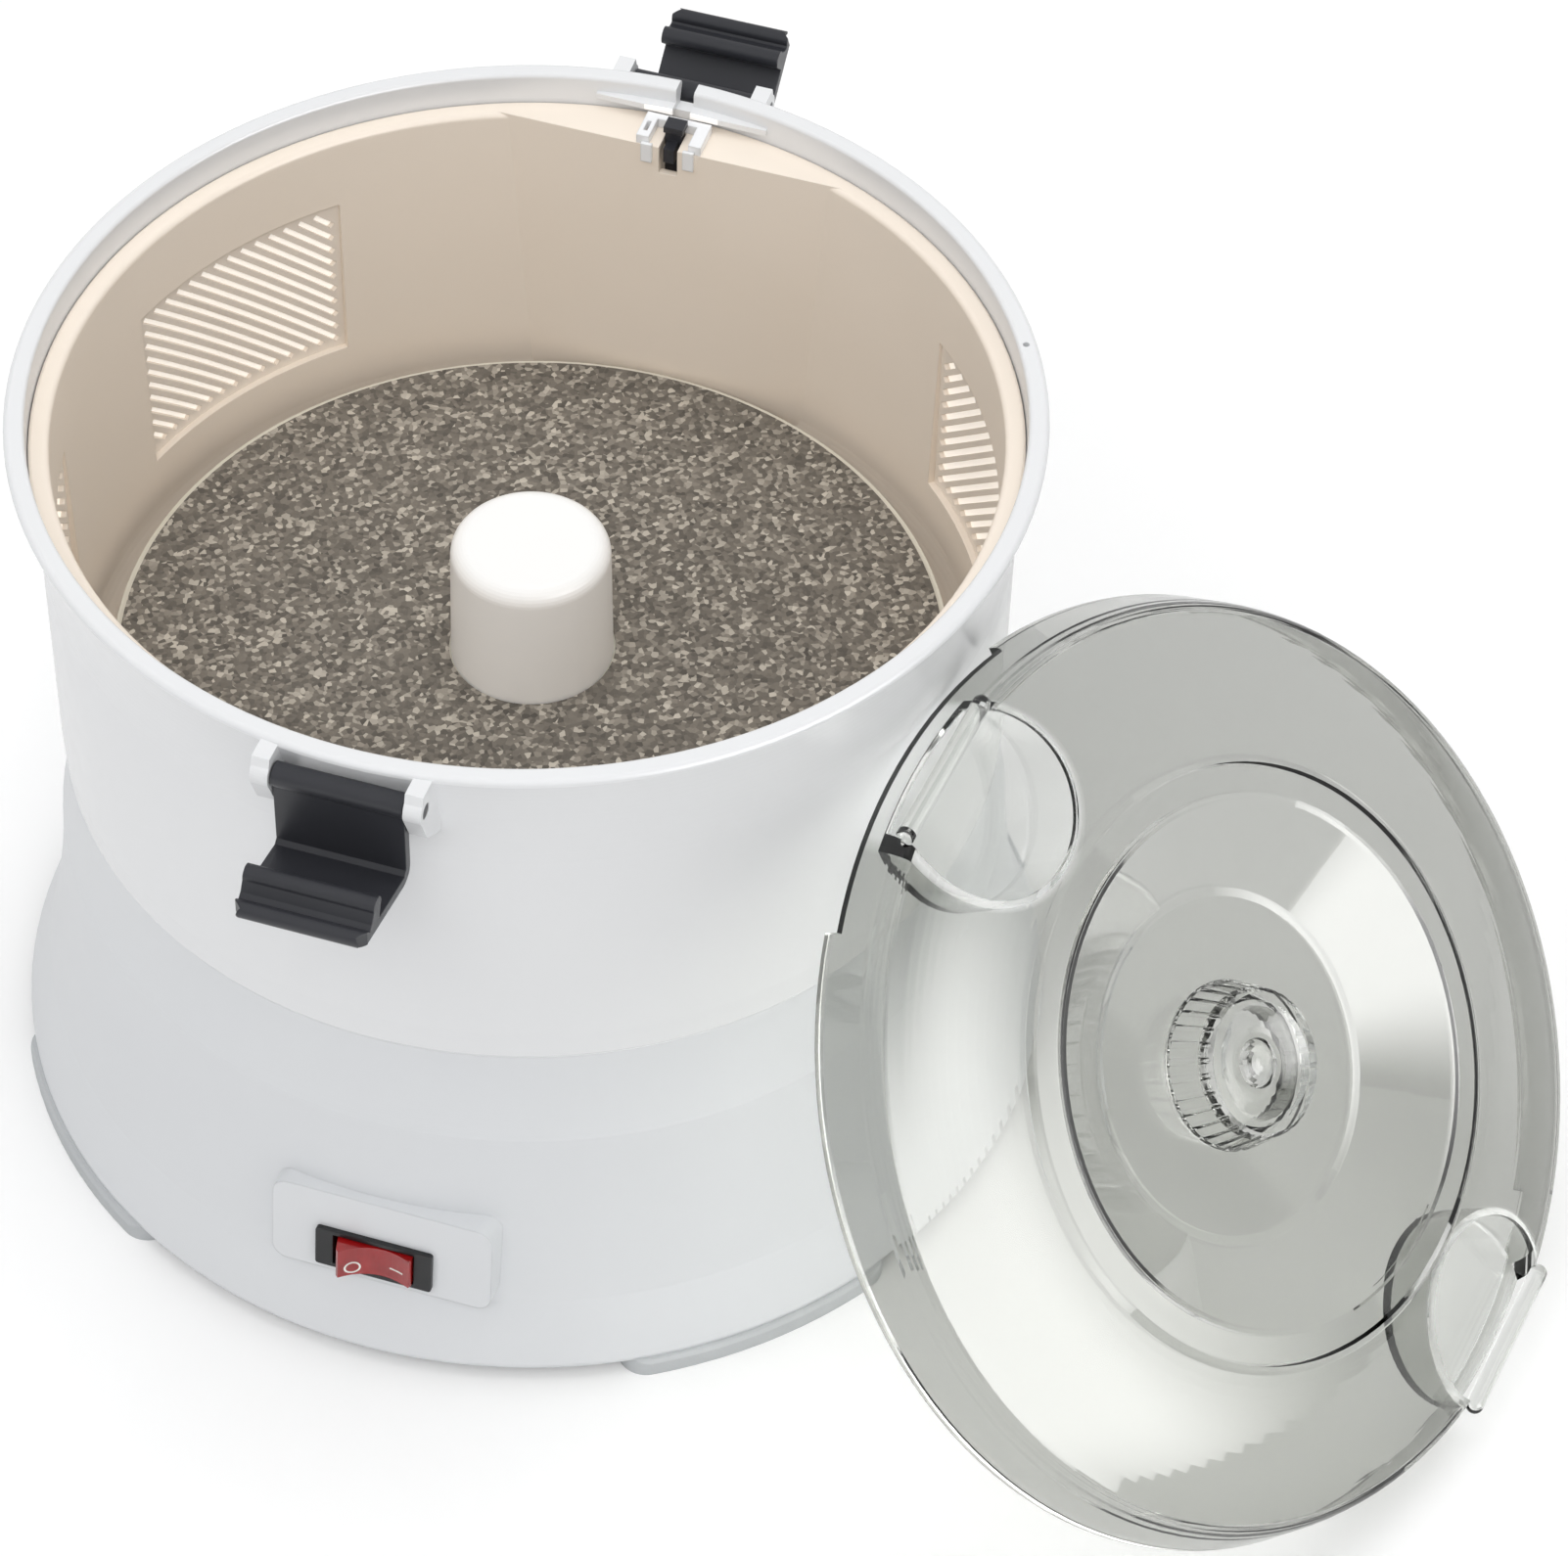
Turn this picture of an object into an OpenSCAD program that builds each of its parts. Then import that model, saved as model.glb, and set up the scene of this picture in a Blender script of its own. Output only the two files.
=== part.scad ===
// Electric potato peeler: motor base, lift-off bowl with abrasive disc, two latches and a clear lid.
// The lid leans against the bowl, as it does while the bowl is being filled.
// The body's axis is Z, the front with the switch faces -Y and the feet stand on Z = 0.

/* [Heights] */
// Floor to the base housing's lower edge
base_edge_z = 5; // [4:0.5:7]
// Floor to the seam between the base and the bowl
seam_z = 103; // [100:0.5:108]
// Floor to the bowl's rim
rim_z = 205; // [198:1:225]

/* [Base housing] */
// Radius at the lower edge
base_r = 130.5; // [129:0.5:136]
// Radius of the crease above the skirt
skirt_r = 124.3; // [123:0.1:127]
// Height of that crease
skirt_z = 23.5; // [22:0.5:25]
// Radius of the crease below the waist
waist_r = 117.2; // [116:0.1:119]
// Height of that crease
waist_z = 76; // [72:1:80]
// Radius at the seam
seam_r = 113.6; // [113.2:0.1:115]
// Wall of the base housing
base_wall = 2.6; // [2:0.1:3]
// Depth of the deck below the seam
deck_drop = 8; // [7:0.5:9]
// Thickness of the deck
deck_t = 2.6; // [2:0.1:4]
// Height of the splash collar round the drive shaft
collar_h = 2; // [1:0.1:2.2]
// Radius of the splash collar
collar_r = 11; // [10.5:0.1:14]
// Radius of the posts under the deck
post_r = 5; // [4.5:0.1:6]

/* [Base plate and feet] */
// Thickness of the base plate
plate_t = 3; // [2:0.1:4]
// Gap round the base plate
plate_gap = 0.4; // [0.2:0.1:0.8]
// How far the plate's middle lies below its border
plate_drop = 2.6; // [1:0.1:3]
// Radius of the plate's lower middle
plate_field_r = 97; // [90:1:98]
// Radius of the circle of base screws
screw_ring_r = 106; // [100:1:108]
// Radius of a base screw
screw_r = 1.8; // [1.4:0.1:2.2]
// Radius of a screw head
screw_head_r = 3.4; // [3:0.1:4]
// Gap round a screw in its hole
screw_gap = 0.1; // [0.05:0.05:0.3]
// Length of a base screw below its head
screw_len = 12; // [8:1:16]
// Outer radius of the feet
foot_r = 132.2; // [131:0.1:137]
// Width of a foot across its arc
foot_w = 14; // [10:1:18]
// Arc of each foot in degrees
foot_arc = 27; // [20:1:34]
// Radius of the ring of air slots
vent_ring_r = 66; // [55:1:80]
// Width of an air slot
vent_w = 3; // [2:0.5:4]
// Length of an air slot
vent_len = 20; // [12:1:26]

/* [Switch] */
// Height of the switch's centre
switch_z = 34.4; // [33:0.2:36]
// Width of the raised pad
pad_w = 56; // [50:1:60]
// Height of the raised pad
pad_h = 25.4; // [24:0.2:27]
// How far the pad's middle lies right of the front
pad_right = 4.1; // [2:0.1:5]
// How far the pad's middle lies above the switch's centre
pad_up = 4.4; // [3:0.1:5]
// How far the pad's face stands out from the wall
pad_proud = 3; // [2:0.1:5]
// Corner radius of the pad
pad_corner = 4; // [2:0.5:6]
// Width of the black frame
frame_w = 29.6; // [28:0.1:32]
// Height of the black frame
frame_h = 11.8; // [11.6:0.1:13]
// How far the frame's middle lies right of the front
frame_right = 2.5; // [1:0.1:4]
// How far the frame's flange stands out
frame_proud = 1.3; // [0.8:0.1:2]
// Width of the part of the frame in the housing
frame_body_w = 27; // [26:0.1:27.4]
// Height of the part of the frame in the housing
frame_body_h = 11.2; // [10.8:0.1:11.6]
// Depth of the frame behind the pad's face
frame_depth = 15; // [14:0.5:18]
// Length of the rocker
rocker_w = 20; // [18:0.1:21]
// Height of the rocker
rocker_h = 8.8; // [8:0.1:9]
// Gap round the rocker
rocker_gap = 0.35; // [0.3:0.05:0.5]
// Tilt of the rocker to each side in degrees
rocker_tilt = 9; // [6:1:10]

/* [Bowl housing] */
// Outer radius of the bowl's wall
wall_r = 115.4; // [115:0.1:117]
// Outer radius of the rim
rim_r = 121.4; // [121:0.1:124]
// Height of the flare below the rim
flare_h = 33; // [26:1:40]
// Height of the rim's own ring, from its top down
ring_h = 29.4; // [27:0.1:30]
// Wall of the bowl housing
bowl_wall = 1.8; // [1.5:0.1:2]
// Inner radius of the rim's lip
lip_r = 116.5; // [116.2:0.1:117]
// Depth of the ledge below the rim
ledge_drop = 8; // [6:0.5:10]
// Thickness of the shelf under the tub's flange
shelf_t = 2; // [1.5:0.1:3]
// Gap at the seam
seam_gap = 0.4; // [0.3:0.1:0.8]
// Gap round the skirt that locates the bowl on the base
skirt_gap = 0.4; // [0.3:0.1:0.8]

/* [Tub] */
// Gap between the tub's wall and the bowl's wall
tub_gap = 0.4; // [0.3:0.1:2]
// How much narrower the tub is at its floor than at its ledge
tub_taper = 1.8; // [1:0.1:3]
// Wall of the tub
tub_wall = 1.8; // [1.5:0.1:1.9]
// Distance of the flat back wall from the axis
flat_y = 103.4; // [103:0.1:104]
// Thickness of the tub's flange
flange_t = 2.5; // [2:0.1:3]
// Gap between the flange and the lip
flange_gap = 0.3; // [0.2:0.1:0.5]
// Height of the tub's floor above the seam
floor_up = 5; // [4.5:0.5:6]
// Thickness of the tub's floor
floor_t = 2.5; // [2:0.1:3]
// Radius between the tub's floor and its wall
floor_fillet = 9; // [6:1:12]

/* [Strainers] */
// Lower edge of the strainer windows above the tub's floor
window_up = 22; // [18:1:26]
// Upper edge of the strainer windows below the ledge
window_drop = 20; // [17:1:27]
// Arc of a strainer window in degrees
window_arc = 33; // [26:1:36]
// Angle from the side of the bowl to a window's centre
window_az = 29; // [26:1:32]
// Pitch of the slits across their length
slit_pitch = 3; // [2.8:0.1:4]
// Width of a slit
slit_w = 1.5; // [1:0.1:1.7]
// Thickness of a strainer
strainer_t = 1.2; // [1:0.1:1.4]
// Border of a strainer round its slits
strainer_border = 1.6; // [1.2:0.1:3]

/* [Disc] */
// Gap between the disc and the flat back wall
disc_gap = 1.5; // [1.2:0.1:4]
// Height of the disc's underside above the tub's floor
disc_up = 12; // [11:0.5:15]
// Thickness of the disc
disc_t = 2.6; // [2:0.1:3]
// Thickness of the abrasive sheet
grit_t = 0.8; // [0.5:0.1:1.2]
// Radius of the centre post
post_cap_r = 19.3; // [18:0.1:22]
// Height of the post's top below the rim
post_drop = 46; // [40:1:56]
// Rounding of the post's top edge
post_round = 4.5; // [3:0.5:6]
// Radius of the disc's hub
hub_r = 15; // [13:0.5:17]
// Distance across the flats of the spindle's hexagon
hex_flats = 10; // [9:0.1:10.4]
// Gap round the hexagon
hex_gap = 0.15; // [0.1:0.05:0.3]

/* [Drive] */
// Radius of the drive shaft
shaft_r = 4; // [3.5:0.1:4.2]
// Running gap of a shaft in its bush
run_gap = 0.05; // [0.02:0.01:0.08]
// Wall of a bush
bush_wall = 2.5; // [2:0.1:3]
// Number of teeth on the motor pinion
pinion_teeth = 15; // [15]
// Number of teeth on the large idler gear
idler_teeth = 45; // [45]
// Module of the first stage
module_1 = 1; // [0.95:0.05:1]
// Number of teeth on the small idler gear
idler_small_teeth = 16; // [16]
// Number of teeth on the output gear
output_teeth = 56; // [56]
// Module of the second stage
module_2 = 1.25; // [1.2:0.05:1.25]
// Pressure angle of the teeth
pressure_angle = 25; // [20:1:25]
// Play between meshing teeth
backlash = 0.3; // [0.2:0.05:0.4]
// Face width of the first stage
face_1 = 7; // [6:0.5:7.5]
// Face width of the second stage
face_2 = 8; // [7:0.5:8.5]
// Direction of the idler from the axis in degrees
idler_az = 29; // [20:1:40]
// Turn between the two gears of the idler in degrees
idler_phase = 7; // [0:1:8]
// Radius of the idler's pin
idler_pin_r = 3; // [2.5:0.1:3.5]
// Height of the dog coupling
dog_h = 4.6; // [4:0.1:5]
// Radius of the coupling's driven cup
cup_r = 13; // [12.6:0.1:14]

/* [Motor] */
// Radius of the motor's can
can_r = 30; // [28:0.5:32]
// Length of the motor's can
can_len = 40; // [36:1:42]
// Wall of the motor's can
can_wall = 1.5; // [1.2:0.1:2]
// Radius of the armature
armature_r = 17; // [15:0.5:18]
// Length of the armature
armature_len = 20; // [18:1:22]
// Radius of the motor's shaft
motor_shaft_r = 2.5; // [2.3:0.1:2.8]
// Radius of the cooling fan
fan_r = 23; // [20:1:25]
// Height of the cooling fan
fan_h = 7; // [5:0.5:8]
// Number of blades of the cooling fan
fan_blades = 9; // [7:1:11]
// Thickness of the gearbox plate
gear_plate_t = 3; // [2.5:0.1:4]

/* [Latches] */
// Radius of the hinge's axis about the body
hinge_r = 124; // [123.6:0.1:126]
// Depth of the hinge's axis below the rim
hinge_drop = 6.2; // [5:0.1:8]
// Width of a latch
latch_w = 30.6; // [28:0.1:32]
// Thickness of a latch
latch_t = 2.4; // [2:0.1:2.6]
// Length of a latch from the hinge to its bend
latch_len = 20.8; // [20:0.1:24]
// Length of a latch from its bend to its tip
latch_reach = 26.5; // [24:0.1:28]
// Angle of the latch's reach below a right angle
latch_dip = 12.8; // [8:0.1:16]
// Distance of the locking roll from the bend
roll_at = 18.9; // [17:0.1:20]
// How far the locking roll stands off the latch
roll_h = 6.4; // [5:0.1:7]
// Radius of the locking roll
roll_r = 2.2; // [1.8:0.1:2.4]
// Radius of the hinge's barrel
barrel_r = 2.9; // [2.6:0.1:3]
// Radius of the hinge's stub pins
pin_r = 1.9; // [1.6:0.1:2]
// Length of a stub pin
pin_len = 4.4; // [3:0.1:4.6]
// Thickness of a hinge ear
ear_t = 4.2; // [3.5:0.1:5]
// Gap between a latch and its ears
ear_gap = 0.4; // [0.3:0.1:0.6]
// How far the rear latch leans out of its hanging place
rear_lean = 26; // [0:1:40]

/* [Interlock] */
// Width of the interlock rod
rod_w = 4.2; // [4:0.1:4.4]
// Depth of the interlock rod
rod_d = 3; // [2.6:0.1:3.2]
// Gap between the flat wall and the rod
rod_off = 2.3; // [2.1:0.1:2.6]
// Travel of the interlock rod
rod_travel = 2.4; // [1.6:0.1:2.6]
// Gap round the rod in its guides
rod_gap = 0.3; // [0.2:0.1:0.4]

/* [Lid] */
// Radius of the lid at its open edge
lid_r = 113; // [110:0.5:115.5]
// Wall of the lid
lid_wall = 2.2; // [1.8:0.1:2.6]
// Height of the lid's skirt
lid_skirt = 12.5; // [11:0.5:14]
// How far the shoulder above the skirt lies in from the lid's edge
shoulder_in = 6; // [5:0.5:8]
// Height of that shoulder
shoulder_h = 18.2; // [16:0.1:20]
// Radius of the crown
crown_r = 71.5; // [68:0.5:76]
// Height of the crown
crown_h = 27.2; // [25:0.1:34]
// Inner radius of the crown, where the dish starts
dish_r = 62.2; // [58:0.1:65]
// Radius of the dish's floor
dish_floor_r = 40.9; // [36:0.1:44]
// Height of the dish's floor
dish_floor_h = 14.6; // [13:0.1:20]
// Radius of the knob at its foot
knob_r = 20.3; // [18:0.1:21]
// Radius of the knob at its top
knob_top_r = 17.5; // [16:0.1:18]
// Height of the knob's top
knob_h = 26.6; // [25:0.1:32]
// Number of grip flutes round the knob
knob_flutes = 30; // [20:2:36]
// Radius of a latch pocket's round wall
pocket_r = 22.5; // [20:0.1:24]
// Height of a latch pocket's floor
pocket_floor_h = 9.5; // [8:0.1:10]
// How far a pocket reaches in from the lid's edge
pocket_reach = 39; // [35:0.1:40]
// Radius of the catch bar across a pocket's mouth
catch_r = 2.2; // [1.8:0.1:2.4]
// How far the catch bar's middle lies in from the lid's edge
catch_in = 4.2; // [3.6:0.1:4.6]
// Height of the catch bar's middle
catch_h = 16.4; // [16:0.1:17]
// Wall of a pocket
pocket_wall = 1.8; // [1.4:0.1:2.2]
// Half the arc of the relief below a pocket in degrees
relief_arc = 22; // [18:1:24]
// Height of that relief
relief_h = 3.6; // [2:0.1:4]

/* [Where the lid leans] */
// Direction of the lid's centre from the axis
lid_az = -14.8; // [-30:0.1:0]
// Turn of the lid about its own upright line
lid_turn = -4.8; // [-8:0.1:0]
// Slope of the lid's axis above the floor
lid_slope = 40.7; // [36:0.1:46]
// Turn of the lid about its own axis
lid_roll = 15; // [0:1:30]
// Gap that keeps the leaning lid off the wall and the floor
lean_gap = 0.3; // [0.2:0.1:0.6]

/* [Hidden] */

$fn = 96;
tub_r = wall_r - bowl_wall - tub_gap - tub_wall;
tub_low_r = tub_r - tub_taper;
disc_r = flat_y - disc_gap;
eps = 0.01;
near = 0.3;

deck_z = seam_z - deck_drop;
under_deck_z = deck_z - deck_t;
plate_z = base_edge_z + plate_t;
bowl_z = seam_z + seam_gap;
ledge_z = rim_z - ledge_drop;
shelf_z = ledge_z - flange_t;
floor_z = seam_z + floor_up;
tub_under_z = floor_z - floor_t;
window_z = floor_z + window_up;
window_h = ledge_z - window_drop - window_z;
shoulder_r = lid_r - shoulder_in;
pocket_in_r = lid_r - pocket_reach;
catch_out = lid_r - catch_in;
disc_z = floor_z + disc_up;
disc_top_z = disc_z + disc_t;
post_top_z = rim_z - post_drop;
hinge_z = rim_z - hinge_drop;
inner_r = wall_r - bowl_wall;
flange_r = lip_r - flange_gap;
screw_az = [30, 150, 210, 330];
foot_az = [45, 135, 225, 315];

// A quadratic curve from a to c, drawn towards b
function bend(a, b, c, n = 12) = [
  for (i = [0:n])
  let (t = i / n)
  a * (1 - t) * (1 - t) + b * 2 * t * (1 - t) + c * t * t
];

// An arc of radius r about a point
function arc(centre, r, from, to, n = 8) = [
  for (i = [0:n])
  let (t = from + (to - from) * i / n)
  centre + r * [cos(t), sin(t)]
];

function unit(v) = v / norm(v);
function left_of(v) = [-v[1], v[0]];

// The same path moved sideways by d, to its left
function beside(path, d) = [
  for (i = [0:len(path) - 1])
  let (
    a = path[max(i - 1, 0)],
    b = path[i],
    c = path[min(i + 1, len(path) - 1)],
    u = i == 0 ? unit(c - b) : unit(b - a),
    v = i == len(path) - 1 ? unit(b - a) : unit(c - b),
    n = unit(left_of(u) + left_of(v))
  )
  b + n * d / max((n * left_of(u)), 0.5)
];

function reversed(path) = [for (i = [len(path) - 1:-1:0]) path[i]];

module copies(angles) {
  for (a = angles)
  rotate([0, 0, a]) children();
}

// A ring between two radii
module tube(r_out, r_in, h) {
  difference() {
    cylinder(r = r_out, h = h);
    translate([0, 0, -1]) cylinder(r = r_in, h = h + 2);
  }
}

// A rectangle with round corners, centred on the origin
module round_rect(w, h, r) {
  square([w - 2 * r, h], center = true);
  square([w, h - 2 * r], center = true);
  for (x = [-1, 1], y = [-1, 1])
  translate([x * (w / 2 - r), y * (h / 2 - r)]) circle(r = r, $fn = 48);
}

// A slice of a ring, between two radii and centred on the X axis
module ring_slice(r_out, r_in, arc_deg, h) {
  rotate([0, 0, -arc_deg / 2])
  rotate_extrude(angle = arc_deg, $fn = 180)
  translate([r_in, 0]) square([r_out - r_in, h]);
}

module screw(len) {
  translate([0, 0, -1]) cylinder(r = screw_r, h = len + 1);
  translate([0, 0, -1.8]) cylinder(r = screw_head_r, h = 1.8);
}

// ---- Base housing ----

base_path = concat(
  [[base_r, base_edge_z], [base_r, base_edge_z + 1]],
  bend([skirt_r, skirt_z], [skirt_r - 5.7, (skirt_z + waist_z) / 2 - 1.7], [waist_r, waist_z], 14),
  bend([waist_r - 0.3, waist_z + 0.9], [seam_r + 0.3, waist_z + 12], [seam_r, seam_z - 0.5], 10),
  [[seam_r - 0.5, seam_z]]
);
base_inner = beside(base_path, base_wall);

module base_solid() {
  rotate_extrude($fn = 180)
  polygon(concat([[0, base_edge_z]], base_path, [[0, seam_z]]));
}

module base_hollow() {
  low = base_inner[0];
  rotate_extrude($fn = 180)
  difference() {
    polygon(concat(
      [[0, base_edge_z - 1], [low[0], base_edge_z - 1]],
      base_inner,
      [[seam_r - base_wall, seam_z + 1], [0, seam_z + 1]]
    ));
    translate([0, under_deck_z]) square([seam_r, deck_t]);
  }
}

// Puts its children on the switch pad: X to the right, Y up the wall, Z out of the face
switch_lean = atan2(skirt_r - waist_r, waist_z - skirt_z);
wall_at_switch = skirt_r + (waist_r - skirt_r) * (switch_z - skirt_z) / (waist_z - skirt_z) - 1.2;
module on_switch() {
  translate([frame_right, -wall_at_switch - pad_proud, switch_z])
  rotate([90 - switch_lean, 0, 0]) children();
}

gear_posts = [[-40, 27], [-40, -27], [72, -33], [88, 27]];
interlock_y = flat_y + tub_wall + rod_off + rod_d / 2;
gland_z = 30;
gland_r = 6;
gland_in = 117;
gland_out = 125.6;
cord_hole_r = 3.6;
module at_gland() {
  translate([0, 0, gland_z]) rotate([-90, 0, 0]) children();
}

module base_shell() {
  color("#d5d7d6") {
    difference() {
      union() {
        base_solid();
        on_switch() translate([pad_right - frame_right, pad_up, -16])
          linear_extrude(16) round_rect(pad_w, pad_h, pad_corner);
        at_gland() translate([0, 0, gland_in]) cylinder(r = gland_r + 3.4, h = gland_out - gland_in);
      }
      difference() {
        base_hollow();
        for (p = gear_posts) translate([p[0], p[1], gear_plate_z + gear_plate_t])
          cylinder(r = post_r, h = under_deck_z - gear_plate_z - gear_plate_t + 1);
        at_gland() translate([0, 0, gland_in]) cylinder(r = gland_r + 3.4, h = gland_out - gland_in);
        copies(screw_az) translate([screw_ring_r, 0, plate_z]) cylinder(r = post_r, h = under_deck_z - plate_z + 1);
      }
      on_switch() translate([-frame_body_w / 2 - 0.1, -frame_body_h / 2 - 0.1, -17])
        cube([frame_body_w + 0.2, frame_body_h + 0.2, 20]);
      for (p = gear_posts) translate([p[0], p[1], gear_plate_z]) cylinder(r = screw_r + screw_gap, h = 12);
      copies(screw_az) translate([screw_ring_r, 0, 0])
        cylinder(r = screw_r + screw_gap, h = plate_z + screw_len);
      translate([0, 0, under_deck_z - 1]) cylinder(r = shaft_r + run_gap + bush_wall, h = 20);
      translate([-rod_w / 2 - rod_gap, interlock_y - rod_d / 2 - rod_gap, under_deck_z - 1])
        cube([rod_w + 2 * rod_gap, rod_d + 2 * rod_gap, deck_t + 2]);
      at_gland() translate([0, 0, gland_in - 5]) cylinder(r = gland_r, h = 30);
    }
    translate([0, 0, deck_z - eps]) tube(collar_r, shaft_r + run_gap + bush_wall, collar_h + eps);
  }
}

plate_r = base_inner[0][0] - plate_gap - (base_r - skirt_r) * plate_t / (skirt_z - base_edge_z);
vents = [for (i = [0:11]) i * 30 + 15];

module base_plate() {
  color("#c9cbca")
  difference() {
    union() {
      difference() {
        union() {
          translate([0, 0, base_edge_z]) cylinder(r = plate_r, h = plate_t, $fn = 180);
          translate([0, 0, base_edge_z - plate_drop]) cylinder(r = plate_field_r, h = plate_drop + 1, $fn = 180);
        }
        translate([0, 0, plate_z - plate_drop]) cylinder(r = plate_field_r - plate_t, h = 10, $fn = 180);
      }
      translate([0, 0, plate_z - eps]) tube(plate_r - 2, plate_r - 4, 4);
      copies([for (i = [0:7]) i * 45])
        translate([vent_ring_r + vent_len / 2 + 1, -0.8, plate_z - plate_drop - 1]) cube([19, 1.6, 4]);
    }
    copies(screw_az) {
      translate([screw_ring_r, 0, 0]) cylinder(r = screw_r + screw_gap, h = 20);
      translate([screw_ring_r, 0, 0]) cylinder(r = screw_head_r + near, h = base_edge_z + 1.8);
    }
    copies(vents) translate([vent_ring_r, 0, 0]) {
      translate([-vent_len / 2 + vent_w / 2, -vent_w / 2, 0]) cube([vent_len - vent_w, vent_w, 20]);
      for (s = [-1, 1]) translate([s * (vent_len - vent_w) / 2, 0, 0]) cylinder(r = vent_w / 2, h = 20, $fn = 32);
    }
  }
}

// Four arc-shaped feet with round ends, showing just past the housing's edge
module feet() {
  mid_r = foot_r - foot_w / 2;
  color("#c4c6c6")
  copies(foot_az) {
    difference() {
      union() {
        ring_slice(foot_r, foot_r - foot_w, foot_arc, base_edge_z);
        for (s = [-1, 1]) rotate([0, 0, s * foot_arc / 2])
          translate([mid_r, 0, 0]) cylinder(r = foot_w / 2, h = base_edge_z, $fn = 64);
      }
      translate([0, 0, base_edge_z - 1])
      rotate_extrude($fn = 180) translate([foot_r, 1]) rotate([0, 0, 45]) square(1.2, center = true);
    }
  }
}

module base_screws() {
  color("#8d8f91")
  copies(screw_az) translate([screw_ring_r, 0, base_edge_z + 1.8]) screw(screw_len);
}

module cord_gland() {
  color("#2c2d30")
  at_gland()
  difference() {
    union() {
      translate([0, 0, gland_in - 3]) cylinder(r = gland_r - 0.1, h = gland_out - gland_in + 4);
      translate([0, 0, gland_out]) cylinder(r = gland_r + 2, h = 2.2);
      translate([0, 0, gland_in - 1.8]) cylinder(r = gland_r + 1.6, h = 1.8);
    }
    translate([0, 0, gland_in - 5]) cylinder(r = cord_hole_r, h = 40);
  }
}

// ---- Switch ----

module switch_frame() {
  color("#1d1e20")
  on_switch()
  difference() {
    union() {
      linear_extrude(frame_proud) round_rect(frame_w, frame_h, 0.8);
      translate([-frame_body_w / 2, -frame_body_h / 2, -frame_depth])
        cube([frame_body_w, frame_body_h, frame_depth + eps]);
    }
    translate([-rocker_w / 2 - rocker_gap, -rocker_h / 2 - rocker_gap, -frame_depth + 2])
      cube([rocker_w + 2 * rocker_gap, rocker_h + 2 * rocker_gap, frame_depth + 4]);
    translate([0, 0, rocker_axis]) rotate([90, 0, 0])
      cylinder(r = rocker_pin_r + run_gap, h = frame_h, center = true);
  }
}

rocker_axis = -2.6;
rocker_pin_r = 1.1;
rocker_end = 6.2;

// The rocker with its right end pressed in
module rocker() {
  half = rocker_w / 2 - 0.1;
  top = concat(
    [[-half, rocker_axis - 1.6], [0.7 - half, rocker_end - 2.4]],
    bend([1.3 - half, rocker_end - 1.6], [0, -1.2], [half - 1.3, rocker_end - 1.6], 12),
    [[half - 0.7, rocker_end - 2.4], [half, rocker_axis - 1.6], [4, rocker_axis - 3.4], [-4, rocker_axis - 3.4]]
  );
  color("#a5161b")
  on_switch()
  translate([0, 0, rocker_axis])
  rotate([0, rocker_tilt, 0])
  translate([0, 0, -rocker_axis]) {
    rotate([90, 0, 0])
    translate([0, 0, -rocker_h / 2])
    linear_extrude(rocker_h) polygon(top);
    translate([0, 0, rocker_axis]) rotate([90, 0, 0])
      cylinder(r = rocker_pin_r, h = rocker_h + 2 * rocker_gap + 1.4, center = true, $fn = 48);
  }
}

module switch_contacts() {
  color("#c8a24a")
  on_switch()
  for (x = [-8, 0, 8])
  translate([x - 2.4, -0.4, -frame_depth - 8]) cube([4.8, 0.8, 8]);
}

module pilot_lamp() {
  color("#e0752f")
  on_switch()
  translate([-3.2, 0, -frame_depth + 2 + 2.1])
  rotate([0, 90, 0]) cylinder(r = 2.1, h = 6.4, $fn = 48);
}

// ---- Gear train ----

pinion_r = module_1 * pinion_teeth / 2;
idler_r = module_1 * idler_teeth / 2;
idler_small_r = module_2 * idler_small_teeth / 2;
output_r = module_2 * output_teeth / 2;
stage_1 = pinion_r + idler_r;
stage_2 = idler_small_r + output_r;
idler_at = stage_2 * [cos(idler_az), sin(idler_az)];
// The motor lies on the X axis, on the far side of the idler
motor_x = idler_at[0] + sqrt(stage_1 * stage_1 - idler_at[1] * idler_at[1]);
motor_at = [motor_x, 0];
motor_dir = atan2(-idler_at[1], motor_x - idler_at[0]);

gear_plate_z = under_deck_z - 26.4;
gear_low_z = gear_plate_z + gear_plate_t + 1;
gear_high_z = gear_low_z + face_1 + 1.6;

// One involute tooth flank, from the base circle out to the tip
function involute(rb, t) = rb * [cos(t) + t * PI / 180 * sin(t), sin(t) - t * PI / 180 * cos(t)];
function turned(p, a) = [p[0] * cos(a) - p[1] * sin(a), p[0] * sin(a) + p[1] * cos(a)];
function roll_at_radius(rb, r) = sqrt(max(r * r / (rb * rb) - 1, 0)) * 180 / PI;

// The outline of one tooth, centred on the X axis
function tooth(m, teeth) =
  let (
    rp = m * teeth / 2,
    rb = rp * cos(pressure_angle),
    ra = rp + m * 0.95,
    rf = rp - m * 1.2,
    half = 90 / teeth - backlash / 4 / rp * 180 / PI,
    at_pitch = roll_at_radius(rb, rp),
    p = involute(rb, at_pitch),
    shift = half + atan2(p[1], p[0]),
    steps = 5,
    start = roll_at_radius(rb, max(rb, rf)),
    end = roll_at_radius(rb, ra),
    flank = [for (i = [0:steps]) turned(involute(rb, start + (end - start) * i / steps), -shift)],
    gap = 180 / teeth
  )
  concat(
    [turned([rf, 0], -gap), turned([rf, 0], atan2(flank[0][1], flank[0][0]))],
    flank,
    [for (i = [steps:-1:0]) [flank[i][0], -flank[i][1]]],
    [turned([rf, 0], -atan2(flank[0][1], flank[0][0]))]
  );

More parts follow.
